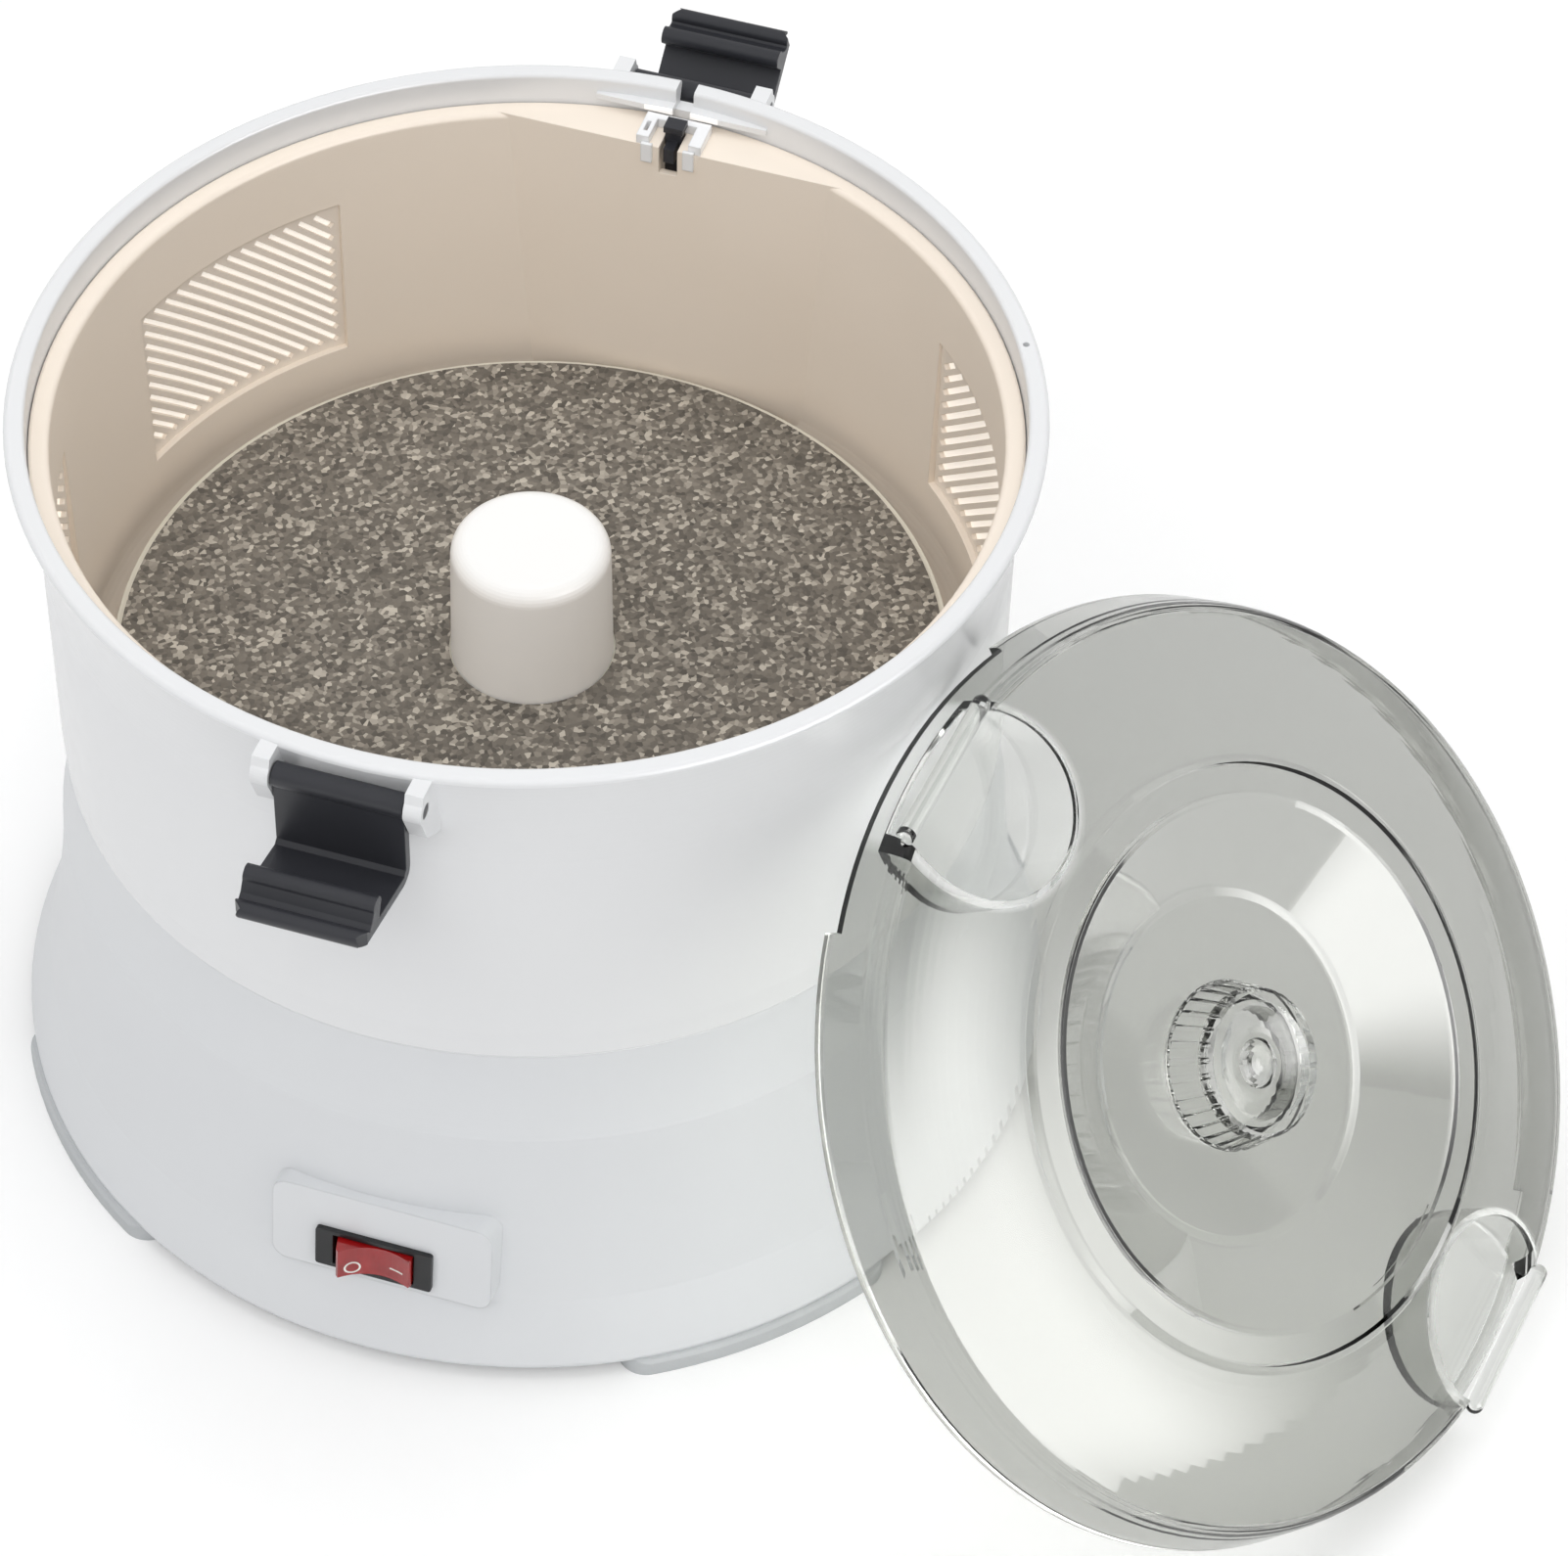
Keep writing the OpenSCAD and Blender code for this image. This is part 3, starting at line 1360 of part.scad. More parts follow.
knob_path = concat(
  [[knob_r, dish_floor_h - 1], [knob_r, dish_floor_h + 0.2]],
  [[knob_top_r, knob_h - 0.8]],
  [[knob_top_r - 1, knob_h], [knob_top_r - 3.4, knob_h]],
  bend([knob_top_r - 4.4, knob_h - 0.5], [9, knob_h - 2.4], [6, knob_h - 2.4], 5),
  arc([0, knob_h - 8], sqrt(5.4 * 5.4 + 5 * 5), 40, 90, 6)
);

// Positions a lid that stands on the floor and leans on the bowl's wall.
// The relief below a pocket lets the edge come this much nearer
lid_nearer = 2.3;
lid_lower = 0.6;
lid_tall = lid_r * cos(lid_slope);
lid_back = lid_r * sin(lid_slope);
lean_z = 2 * lid_tall + lean_gap;
lean_r = wall_at(lean_z) + lean_gap;
lid_out = lid_back * cos(lid_turn) + sqrt(lean_r * lean_r - pow(lid_back * sin(lid_turn), 2)) - lid_nearer;
module lean_lid() {
  translate([lid_out * cos(lid_az), lid_out * sin(lid_az), lid_tall - lid_lower + lean_gap])
  rotate([0, 90 - lid_slope, lid_az + lid_turn])
  rotate([0, 0, lid_roll]) children();
}

// A latch pocket in plan, a circle that runs out through the skirt
module pocket_plan(grow) {
  translate([pocket_in_r + pocket_r, 0]) circle(r = pocket_r + grow, $fn = 96);
}

module lid_solid() {
  rotate_extrude($fn = 180)
  polygon(concat([[0, 0]], lid_path, [[0, dish_floor_h]]));
}

module flutes() {
  taper = atan2(knob_r - knob_top_r, knob_h - dish_floor_h);
  copies([for (i = [0:knob_flutes - 1]) i * 360 / knob_flutes])
  translate([knob_r + 0.5, 0, dish_floor_h + 0.8])
  rotate([0, -taper, 0]) cylinder(r = 1.15, h = 30, $fn = 24);
}

// Bar with round ends across a pocket's mouth, under which the latch's roll locks
catch_half = sqrt(pocket_r * pocket_r - pow(catch_out - pocket_in_r - pocket_r, 2)) + 0.8;
module catch_bar() {
  translate([catch_out, -catch_half, catch_h]) rotate([-90, 0, 0]) cylinder(r = catch_r, h = 2 * catch_half, $fn = 64);
  for (s = [-1, 1]) translate([catch_out, s * catch_half, catch_h]) sphere(r = catch_r, $fn = 48);
}

module lid_whole() {
  difference() {
    union() {
      rotate_extrude($fn = 180)
      polygon(concat(lid_path, reversed(lid_inner)));
      difference() {
        rotate_extrude($fn = 180)
        polygon(concat([[0, dish_floor_h - lid_wall]], knob_path));
        flutes();
      }
      for (a = [0, 180]) rotate([0, 0, a]) {
        intersection() {
          translate([0, 0, pocket_floor_h - pocket_wall]) linear_extrude(60) pocket_plan(pocket_wall);
          lid_solid();
        }
      }
    }
    for (a = [0, 180]) rotate([0, 0, a]) {
      translate([0, 0, pocket_floor_h]) linear_extrude(60) pocket_plan(0);
      translate([0, 0, -1]) ring_slice(lid_r + 5, lid_r - 9, 2 * relief_arc, relief_h + 1);
    }
    // The knob is hollow from below
    translate([0, 0, dish_floor_h - lid_wall - 1])
      cylinder(r1 = knob_r - 2.6, r2 = knob_top_r - 2.6, h = knob_h - dish_floor_h - 2.6);
  }
  for (a = [0, 180]) rotate([0, 0, a]) catch_bar();
}

module lid() {
  color([0.72, 0.73, 0.71, 0.4])
  lean_lid() lid_whole();
}

base_shell();
base_plate();
feet();
base_screws();
switch_frame();
rocker();
switch_contacts();
pilot_lamp();
gearbox_plate();
gearbox_screws();
drive_bushes();
idler_pin();
idler_gear();
drive_gear();
drive_shaft();
motor_can();
motor_cap();
field_magnets();
motor_bushes();
motor_brushes();
motor_shaft();
armature();
commutator();
motor_pinion();
cooling_fan();
interlock_switch();
interlock_button();
cord_gland();
upper_housing();
bowl_rim();
tub();
strainers();
tub_screws();
spindle_bush();
interlock_bracket();
interlock_rod();
interlock_spring();
spindle();
disc_hub();
disc_plate();
abrasive_sheet();
centre_post();
latch_front();
latch_rear();
lid();
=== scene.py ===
import bmesh
import bpy
import math
from mathutils import Matrix, Vector
from mathutils.bvhtree import BVHTree


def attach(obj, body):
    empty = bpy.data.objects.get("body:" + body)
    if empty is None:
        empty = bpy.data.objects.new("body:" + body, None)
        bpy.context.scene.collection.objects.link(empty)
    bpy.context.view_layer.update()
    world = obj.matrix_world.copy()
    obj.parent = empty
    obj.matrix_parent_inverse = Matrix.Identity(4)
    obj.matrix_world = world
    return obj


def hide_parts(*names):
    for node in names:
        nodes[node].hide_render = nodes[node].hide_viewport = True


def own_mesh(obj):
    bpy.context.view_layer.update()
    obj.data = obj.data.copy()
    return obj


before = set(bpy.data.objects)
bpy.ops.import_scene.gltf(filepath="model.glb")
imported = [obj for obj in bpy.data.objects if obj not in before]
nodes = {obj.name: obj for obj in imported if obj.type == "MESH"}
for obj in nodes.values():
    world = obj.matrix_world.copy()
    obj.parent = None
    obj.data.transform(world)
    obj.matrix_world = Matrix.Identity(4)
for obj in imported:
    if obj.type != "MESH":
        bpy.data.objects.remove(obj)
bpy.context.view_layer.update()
mm = 0.001
print("frame loaded:", len(nodes), "nodes")


# sRGB hex to a linear colour for a shader socket
def hexColour(text):
    parts = [int(text[i:i + 2], 16) / 255 for i in (1, 3, 5)]
    linear = [c / 12.92 if c <= 0.04045 else ((c + 0.055) / 1.055) ** 2.4 for c in parts]
    return (*linear, 1.0)


# adds a shader node, sets its properties or input values, and links its inputs
def addNode(tree, kind, settings=None, links=None):
    node = tree.nodes.new("ShaderNode" + kind)
    for name, value in (settings or {}).items():
        if hasattr(node, str(name)):
            setattr(node, name, value)
        else:
            node.inputs[name].default_value = value
    for name, source in (links or {}).items():
        tree.links.new(source, node.inputs[name])
    return node


def onlyNode(tree, kind):
    return next(node for node in tree.nodes if node.bl_idname == "ShaderNode" + kind)


# a bare material with one Principled shader in it
def startMaterial(name, surface):
    material = bpy.data.materials.new(name)
    material.use_nodes = True
    tree = material.node_tree
    tree.nodes.clear()
    shader = addNode(tree, "BsdfPrincipled", surface)
    addNode(tree, "OutputMaterial", links={"Surface": shader.outputs["BSDF"]})
    return material, tree, shader


# a mesh of one material as a new object in the scene
def addObject(name, mesh, material):
    mesh.materials.append(material)
    obj = bpy.data.objects.new(name, mesh)
    bpy.context.collection.objects.link(obj)
    return obj


# noise needs cells per metre, and the pattern sizes here are in millimetres
def perMetre(sizeMm):
    return 1000 / sizeMm


# moulded plastic: a soft drift in tone, a faint orange peel from the tool, and edges that catch light
def mouldedPlastic(name, look):
    material, tree, shader = startMaterial(name, {
        "IOR": look["ior"],
        "Roughness": look["roughness"],
        "Specular IOR Level": 0.5,
    })
    place = addNode(tree, "TexCoord").outputs["Object"]
    drift = addNode(tree, "TexNoise", {"Scale": perMetre(look["driftMm"]), "Detail": 2.0}, {"Vector": place})
    tone = addNode(tree, "Mix", {"data_type": "RGBA", 6: hexColour(look["colour"]), 7: hexColour(look["shade"])},
                   {0: drift.outputs["Fac"]})
    tree.links.new(tone.outputs[2], shader.inputs["Base Color"])
    wear = addNode(tree, "TexNoise", {"Scale": perMetre(look["wearMm"]), "Detail": 4.0}, {"Vector": place})
    gloss = addNode(tree, "MapRange", {"To Min": look["roughness"] - look["roughnessSpread"],
                                       "To Max": look["roughness"] + look["roughnessSpread"]},
                    {"Value": wear.outputs["Fac"]})
    tree.links.new(gloss.outputs["Result"], shader.inputs["Roughness"])
    peel = addNode(tree, "TexNoise", {"Scale": perMetre(look["peelMm"]), "Detail": 1.0}, {"Vector": place})
    bump = addNode(tree, "Bump", {"Strength": look["peelStrength"], "Distance": look["peelDepthMm"] * mm},
                   {"Height": peel.outputs["Fac"]})
    if look["edgeMm"]:
        edge = addNode(tree, "Bevel", {"samples": 4, "Radius": look["edgeMm"] * mm})
        tree.links.new(edge.outputs["Normal"], bump.inputs["Normal"])
    tree.links.new(bump.outputs["Normal"], shader.inputs["Normal"])
    return material


# turned or pressed metal: no dye, fine lines along the cut, roughness that varies a little
toolMarks = {"spread": 0.08, "strength": 0.15, "depthMm": 0.02}


def plainMetal(name, look):
    material, tree, shader = startMaterial(name, {"Metallic": 1.0, "Roughness": look["roughness"]})
    place = addNode(tree, "TexCoord").outputs["Object"]
    stretch = addNode(tree, "Mapping", {"Scale": look["stretch"]}, {"Vector": place})
    lines = addNode(tree, "TexNoise", {"Scale": perMetre(look["lineMm"]), "Detail": 3.0},
                    {"Vector": stretch.outputs["Vector"]})
    tone = addNode(tree, "Mix", {"data_type": "RGBA", 6: hexColour(look["colour"]), 7: hexColour(look["shade"])},
                   {0: lines.outputs["Fac"]})
    tree.links.new(tone.outputs[2], shader.inputs["Base Color"])
    gloss = addNode(tree, "MapRange", {"To Min": look["roughness"] - toolMarks["spread"],
                                       "To Max": look["roughness"] + toolMarks["spread"]},
                    {"Value": lines.outputs["Fac"]})
    tree.links.new(gloss.outputs["Result"], shader.inputs["Roughness"])
    bump = addNode(tree, "Bump", {"Strength": toolMarks["strength"], "Distance": toolMarks["depthMm"] * mm},
                   {"Height": lines.outputs["Fac"]})
    tree.links.new(bump.outputs["Normal"], shader.inputs["Normal"])
    return material


# white ABS with a polished tool: clean and glossy, with only a faint peel
glossyAbs = mouldedPlastic("whiteAbsPolished", {
    "colour": "#F4F5F6", "shade": "#EFF0F2", "ior": 1.54, "roughness": 0.24, "roughnessSpread": 0.04,
    "driftMm": 90, "wearMm": 12, "edgeMm": 0.5, "peelMm": 2.2, "peelStrength": 0.25, "peelDepthMm": 0.02})

# the same ABS in the bowl's wall and rim, painted a shade darker than the polished ABS; one smooth face over both,
# and a painted glow on its inner face
wallAbs = mouldedPlastic("whiteAbsThinWall", {
    "colour": "#E9EAEB", "shade": "#E4E5E7", "ior": 1.54, "roughness": 0.24, "roughnessSpread": 0.04,
    "driftMm": 90, "wearMm": 12, "edgeMm": 0, "peelMm": 2.2, "peelStrength": 0.25, "peelDepthMm": 0.02})


# painted glow: an emission on the wall's inner face, inside the given radius, stands in for daylight coming through
# the thin wall; it shows behind the strainers' slits
def paintedGlowInside(material, look):
    tree = material.node_tree
    shader = onlyNode(tree, "BsdfPrincipled")
    place = addNode(tree, "TexCoord").outputs["Object"]
    flat = addNode(tree, "VectorMath", {"operation": "MULTIPLY", 1: (1, 1, 0)}, {0: place})
    radius = addNode(tree, "VectorMath", {"operation": "LENGTH"}, {0: flat.outputs["Vector"]})
    inside = addNode(tree, "Math", {"operation": "LESS_THAN", 1: look["radiusMm"] * mm},
                     {0: radius.outputs["Value"]})
    paintedLight = addNode(tree, "Mix", {"data_type": "RGBA", 6: (0, 0, 0, 1), 7: hexColour(look["colour"])},
                    {0: inside.outputs["Value"]})
    # the painted glow's emission: warm white, and only on the inner face
    shader.inputs["Emission Strength"].default_value = look["level"]
    tree.links.new(paintedLight.outputs[2], shader.inputs["Emission Color"])


paintedGlowInside(wallAbs, {"radiusMm": 113.9, "level": 0.45, "colour": "#FFF7EC"})

# ABS with a satin tool: softer highlights than the bowl above it; its pale grey tone is painted shade, darker than
# the bowl's white
satinAbs = mouldedPlastic("whiteAbsSatinPaintedShade", {
    "colour": "#DFE1E3", "shade": "#DADCDF", "ior": 1.54, "roughness": 0.36, "roughnessSpread": 0.05,
    "driftMm": 80, "wearMm": 9, "edgeMm": 0.6, "peelMm": 1.6, "peelStrength": 0.3, "peelDepthMm": 0.02})

# polypropylene tub: slightly waxy, so the gloss is broad; its warm tone is painted warm bounce light
waxyTub = mouldedPlastic("whitePolypropylenePaintedWarmLight", {
    "colour": "#F8EDE0", "shade": "#F3E7D8", "ior": 1.49, "roughness": 0.34, "roughnessSpread": 0.06,
    "driftMm": 60, "wearMm": 7, "edgeMm": 0.4, "peelMm": 1.8, "peelStrength": 0.3, "peelDepthMm": 0.02})

# strainer panels of white polypropylene; their slits look bright from the painted glow on the wall's inner face
# behind them
strainerPlastic = mouldedPlastic("whitePolypropyleneStrainer", {
    "colour": "#F5ECE1", "shade": "#F0E5D8", "ior": 1.49, "roughness": 0.3, "roughnessSpread": 0.05,
    "driftMm": 30, "wearMm": 4, "edgeMm": 0.2, "peelMm": 1.2, "peelStrength": 0.2, "peelDepthMm": 0.01})

# anthracite ABS with fine spark-eroded grain: dark, with a soft sheen on the edges
darkAbs = mouldedPlastic("anthraciteAbsGrained", {
    "colour": "#2B2C31", "shade": "#323338", "ior": 1.54, "roughness": 0.38, "roughnessSpread": 0.07,
    "driftMm": 18, "wearMm": 3, "edgeMm": 0.35, "peelMm": 0.5, "peelStrength": 0.35, "peelDepthMm": 0.03})

# black nylon of the switch's frame: nearly matt
blackNylon = mouldedPlastic("blackNylonMoulded", {
    "colour": "#17181A", "shade": "#1E1F21", "ior": 1.53, "roughness": 0.42, "roughnessSpread": 0.06,
    "driftMm": 12, "wearMm": 2, "edgeMm": 0.3, "peelMm": 0.4, "peelStrength": 0.3, "peelDepthMm": 0.02})

# white acetal post: dense and smooth, with a tight highlight
smoothAcetal = mouldedPlastic("whiteAcetalPolished", {
    "colour": "#F8F8F7", "shade": "#F5F5F4", "ior": 1.48, "roughness": 0.3, "roughnessSpread": 0.02,
    "driftMm": 30, "wearMm": 5, "edgeMm": 0, "peelMm": 1.5, "peelStrength": 0.08, "peelDepthMm": 0.01})

# natural nylon of the disc and gears: ivory and a little dull
ivoryNylon = mouldedPlastic("naturalNylonMoulded", {
    "colour": "#E3DFD2", "shade": "#DAD5C6", "ior": 1.53, "roughness": 0.4, "roughnessSpread": 0.06,
    "driftMm": 20, "wearMm": 4, "edgeMm": 0.3, "peelMm": 0.9, "peelStrength": 0.25, "peelDepthMm": 0.02})

# grey thermoplastic rubber of the feet: matt, with a dusty grain
softRubber = mouldedPlastic("greyRubberMoulded", {
    "colour": "#C3C6C8", "shade": "#B8BBBD", "ior": 1.52, "roughness": 0.6, "roughnessSpread": 0.08,
    "driftMm": 15, "wearMm": 2, "edgeMm": 0.5, "peelMm": 0.6, "peelStrength": 0.5, "peelDepthMm": 0.05})

# zinc-plated pressed steel: bright grey with a cloudy sheen
platedSteel = plainMetal("zincPlatedSteelPressed", {
    "colour": "#B9BDC0", "shade": "#9EA3A7", "roughness": 0.35, "stretch": (1, 1, 1), "lineMm": 4})

# turned steel: fine rings round the axis
turnedSteel = plainMetal("steelTurned", {
    "colour": "#C4C7CA", "shade": "#ABAFB3", "roughness": 0.26, "stretch": (0.1, 0.1, 6), "lineMm": 3})

# sintered bronze: porous and oily brown
sinteredBronze = plainMetal("bronzeSintered", {
    "colour": "#A9793F", "shade": "#8D6232", "roughness": 0.45, "stretch": (1, 1, 1), "lineMm": 0.6})

# brass of the pinion and terminals
cutBrass = plainMetal("brassMachined", {
    "colour": "#CBA553", "shade": "#B48F42", "roughness": 0.28, "stretch": (1, 1, 4), "lineMm": 1.2})

# enamelled copper winding: reddish and glossy, with the wires' lines
copperWinding = plainMetal("copperEnamelled", {
    "colour": "#A65B34", "shade": "#7F3F22", "roughness": 0.3, "stretch": (6, 6, 0.4), "lineMm": 2})

# sintered ferrite: dark grey and chalky
ferrite = mouldedPlastic("ferriteSintered", {
    "colour": "#4A4B4D", "shade": "#3E3F41", "ior": 2.2, "roughness": 0.62, "roughnessSpread": 0.08,
    "driftMm": 8, "wearMm": 1.5, "edgeMm": 0.3, "peelMm": 0.5, "peelStrength": 0.5, "peelDepthMm": 0.05})

# pressed carbon of the brushes
carbon = mouldedPlastic("carbonPressed", {
    "colour": "#333231", "shade": "#292827", "ior": 1.8, "roughness": 0.55, "roughnessSpread": 0.08,
    "driftMm": 4, "wearMm": 1, "edgeMm": 0.2, "peelMm": 0.3, "peelStrength": 0.4, "peelDepthMm": 0.03})
print("opaque materials made")


# abrasive sheet: dark mineral grains of about 1 mm in resin; a few grains are painted pale as the glints of their
# facets
def gritMaterial(look):
    material, tree, shader = startMaterial("mineralGritInResin", {"IOR": look["ior"], "Roughness": look["roughness"]})
    place = addNode(tree, "TexCoord").outputs["Object"]
    grains = addNode(tree, "TexVoronoi", {"Scale": perMetre(look["grainMm"])}, {"Vector": place})
    pick = addNode(tree, "ValToRGB", links={"Fac": grains.outputs["Color"]})
    ramp = pick.color_ramp
    # painted glints: the few cells at the top of the ramp turn pale
    ramp.elements[0].color = hexColour(look["dark"])
    ramp.elements[1].color = hexColour(look["paintedLight"])
    ramp.elements[1].position = look["paintedLightFrom"]
    middle = ramp.elements.new(look["middleAt"])
    middle.color = hexColour(look["middle"])
    tree.links.new(pick.outputs["Color"], shader.inputs["Base Color"])
    bump = addNode(tree, "Bump", {"Strength": look["relief"], "Distance": look["reliefMm"] * mm, "invert": True},
                   {"Height": grains.outputs["Distance"]})
    tree.links.new(bump.outputs["Normal"], shader.inputs["Normal"])
    return material


grit = gritMaterial({
    "grainMm": 1.3, "dark": "#4A4641", "middle": "#7A746B", "paintedLight": "#C2BBAF", "middleAt": 0.62, "paintedLightFrom": 0.92,
    "ior": 1.6, "roughness": 0.7, "relief": 0.8, "reliefMm": 0.3})


# 1 within a given distance of a line, fading to 0 outside it
def nearLine(tree, place, point, axis, reach, fade):
    offset = addNode(tree, "VectorMath", {"operation": "SUBTRACT", 1: point}, {0: place}).outputs["Vector"]
    along = addNode(tree, "VectorMath", {"operation": "DOT_PRODUCT", 1: axis}, {0: offset}).outputs["Value"]
    foot = addNode(tree, "VectorMath", {"operation": "SCALE", 0: axis}, {"Scale": along}).outputs["Vector"]
    side = addNode(tree, "VectorMath", {"operation": "SUBTRACT"}, {0: offset, 1: foot}).outputs["Vector"]
    away = addNode(tree, "VectorMath", {"operation": "LENGTH"}, {0: side}).outputs["Value"]
    return addNode(tree, "MapRange", {"From Min": reach, "From Max": reach + fade, "To Min": 1.0, "To Max": 0.0},
                   {"Value": away}).outputs["Result"]


# clear smoky SAN: light passes with a grey tint, the surface is polished, and moulding stress bends it faintly
# inside a cylinder round each pocket the tint is paler: painted light that lifts the dark in the pockets
def clearLid(look):
    material, tree, shader = startMaterial("sanSmokyClear", {
        "Base Color": hexColour(look["tint"]), "IOR": look["ior"], "Roughness": look["roughness"],
        "Transmission Weight": 1.0})
    place = addNode(tree, "TexCoord").outputs["Object"]
    flow = addNode(tree, "TexNoise", {"Scale": perMetre(look["flowMm"]), "Detail": 1.0}, {"Vector": place})
    bump = addNode(tree, "Bump", {"Strength": look["flowStrength"], "Distance": look["flowDepthMm"] * mm},
                   {"Height": flow.outputs["Fac"]})
    tree.links.new(bump.outputs["Normal"], shader.inputs["Normal"])
    near = [nearLine(tree, place, [v * mm for v in spot], look["axis"], look["pocketMm"] * mm, look["fadeMm"] * mm)
            for spot in look["pockets"]]
    # painted light: a paler tint near the pockets
    paintedLightMask = addNode(tree, "Math", {"operation": "MAXIMUM"}, {0: near[0], 1: near[1]})
    smokeAndPaintedLight = addNode(tree, "Mix", {"data_type": "RGBA", 6: hexColour(look["tint"]), 7: hexColour(look["pocketPaintedLightTint"])},
                    {0: paintedLightMask.outputs["Value"]})
    tree.links.new(smokeAndPaintedLight.outputs[2], shader.inputs["Base Color"])
    # a clear cover throws only a pale shadow
    shade = addNode(tree, "BsdfTransparent", {"Color": hexColour(look["shadow"])})
    rays = addNode(tree, "LightPath")
    mix = addNode(tree, "MixShader", links={0: rays.outputs["Is Shadow Ray"], 1: shader.outputs["BSDF"],
                                            2: shade.outputs["BSDF"]})
    tree.links.new(mix.outputs["Shader"], onlyNode(tree, "OutputMaterial").inputs["Surface"])
    return material


smokySan = clearLid({
    "tint": "#C5C6C2", "ior": 1.57, "roughness": 0.03, "flowMm": 25, "flowStrength": 0.12, "flowDepthMm": 0.08,
    "shadow": "#D2D3D0", "pocketPaintedLightTint": "#F0F1EF", "pocketMm": 23.6, "fadeMm": 1.5,
    "axis": (0.7142, -0.2543, 0.6521), "pockets": ((246.7, -44.7, 14.7), (115.4, -51.0, 156.0))})


# red polycarbonate rocker: deep and see-through; brighter red clouds in its colour are a painted glow of the lamp
# behind
def lampRocker(look):
    material, tree, shader = startMaterial("redPolycarbonateClear", {
        "Base Color": hexColour(look["colour"]), "IOR": look["ior"], "Roughness": look["roughness"],
        "Transmission Weight": look["clear"], "Coat Weight": look["coat"], "Coat Roughness": look["coatRoughness"]})
    place = addNode(tree, "TexCoord").outputs["Object"]
    # painted glow: noise mixes in the brighter red
    paintedGlowCloud = addNode(tree, "TexNoise", {"Scale": perMetre(look["cloudMm"]), "Detail": 2.0}, {"Vector": place})
    tone = addNode(tree, "Mix", {"data_type": "RGBA", 6: hexColour(look["colour"]), 7: hexColour(look["paintedGlowRed"])},
                   {0: paintedGlowCloud.outputs["Fac"]})
    tree.links.new(tone.outputs[2], shader.inputs["Base Color"])
    return material


redRocker = lampRocker({
    "colour": "#8E0F12", "paintedGlowRed": "#C21A1D", "ior": 1.585, "roughness": 0.12, "clear": 0.25, "cloudMm": 5,
    "coat": 0.4, "coatRoughness": 0.05})

finishes = {
    "base_shell": satinAbs, "base_plate": satinAbs, "feet": softRubber, "base_screws": platedSteel,
    "switch_frame": blackNylon, "rocker": redRocker, "switch_contacts": cutBrass, "pilot_lamp": redRocker,
    "gearbox_plate": platedSteel, "gearbox_screws": platedSteel, "drive_bushes": sinteredBronze,
    "idler_pin": turnedSteel, "idler_gear": ivoryNylon, "drive_gear": ivoryNylon, "drive_shaft": turnedSteel,
    "motor_can": platedSteel, "motor_cap": blackNylon, "field_magnets": ferrite, "motor_bushes": sinteredBronze,
    "motor_brushes": carbon, "motor_shaft": turnedSteel, "armature": copperWinding, "commutator": copperWinding,
    "motor_pinion": cutBrass, "cooling_fan": ivoryNylon, "interlock_switch": blackNylon,
    "interlock_button": redRocker, "cord_gland": blackNylon, "upper_housing": wallAbs, "bowl_rim": wallAbs,
    "tub": waxyTub, "strainers": strainerPlastic, "tub_screws": platedSteel, "spindle_bush": sinteredBronze,
    "interlock_bracket": glossyAbs, "interlock_rod": darkAbs, "interlock_spring": turnedSteel,
    "spindle": ivoryNylon, "disc_hub": ivoryNylon, "disc_plate": ivoryNylon, "abrasive_sheet": grit,
    "centre_post": smoothAcetal, "latch_front": darkAbs, "latch_rear": darkAbs, "lid": smokySan,
}
for nodeName, finish in finishes.items():
    mesh = nodes[nodeName].data
    mesh.materials.clear()
    mesh.materials.append(finish)
print("materials assigned:", len(finishes))

# the switch pad's face: x along the body, y up the wall, z out of the face; it leans as the base's wall does there
wallFoot, wallTop = (124.3, 23.5), (117.2, 76)  # radius and height of the wall's ends, in millimetres
switchPad = {"lean": math.atan2(wallFoot[0] - wallTop[0], wallTop[1] - wallFoot[1]), "right": 2.5, "face": 124.626,
             "height": 34.4}


def padMatrix(pad):
    lean = pad["lean"]
    along = Vector((1, 0, 0))
    up = Vector((0, math.sin(lean), math.cos(lean)))
    out = Vector((0, -math.cos(lean), math.sin(lean)))
    place = Matrix((along, up, out)).transposed().to_4x4()
    place.translation = Vector((pad["right"], -pad["face"], pad["height"])) * mm
    return place


# the rocker's marks: a ring for off and a bar for on, printed on its curved face
rockerMarks = {"ring": (-4.4, -1.9), "ringRadius": 1.6, "ringLine": 0.42, "bar": (6.2, -0.9), "barSize": (3.6, 0.45),
               "lift": 0.03, "thick": 0.05, "steps": 48, "castFrom": 20}


def onRocker(points):
    source = nodes["rocker"].data
    tree = BVHTree.FromPolygons([v.co for v in source.vertices], [tuple(f.vertices) for f in source.polygons])
    place = padMatrix(switchPad)
    out = place.to_3x3() @ Vector((0, 0, 1))
    hits = []
    for x, y in points:
        start = place @ (Vector((x, y, rockerMarks["castFrom"])) * mm)
        spot, normal, index, away = tree.ray_cast(start, -out)
        hits.append((spot, normal))
    return hits


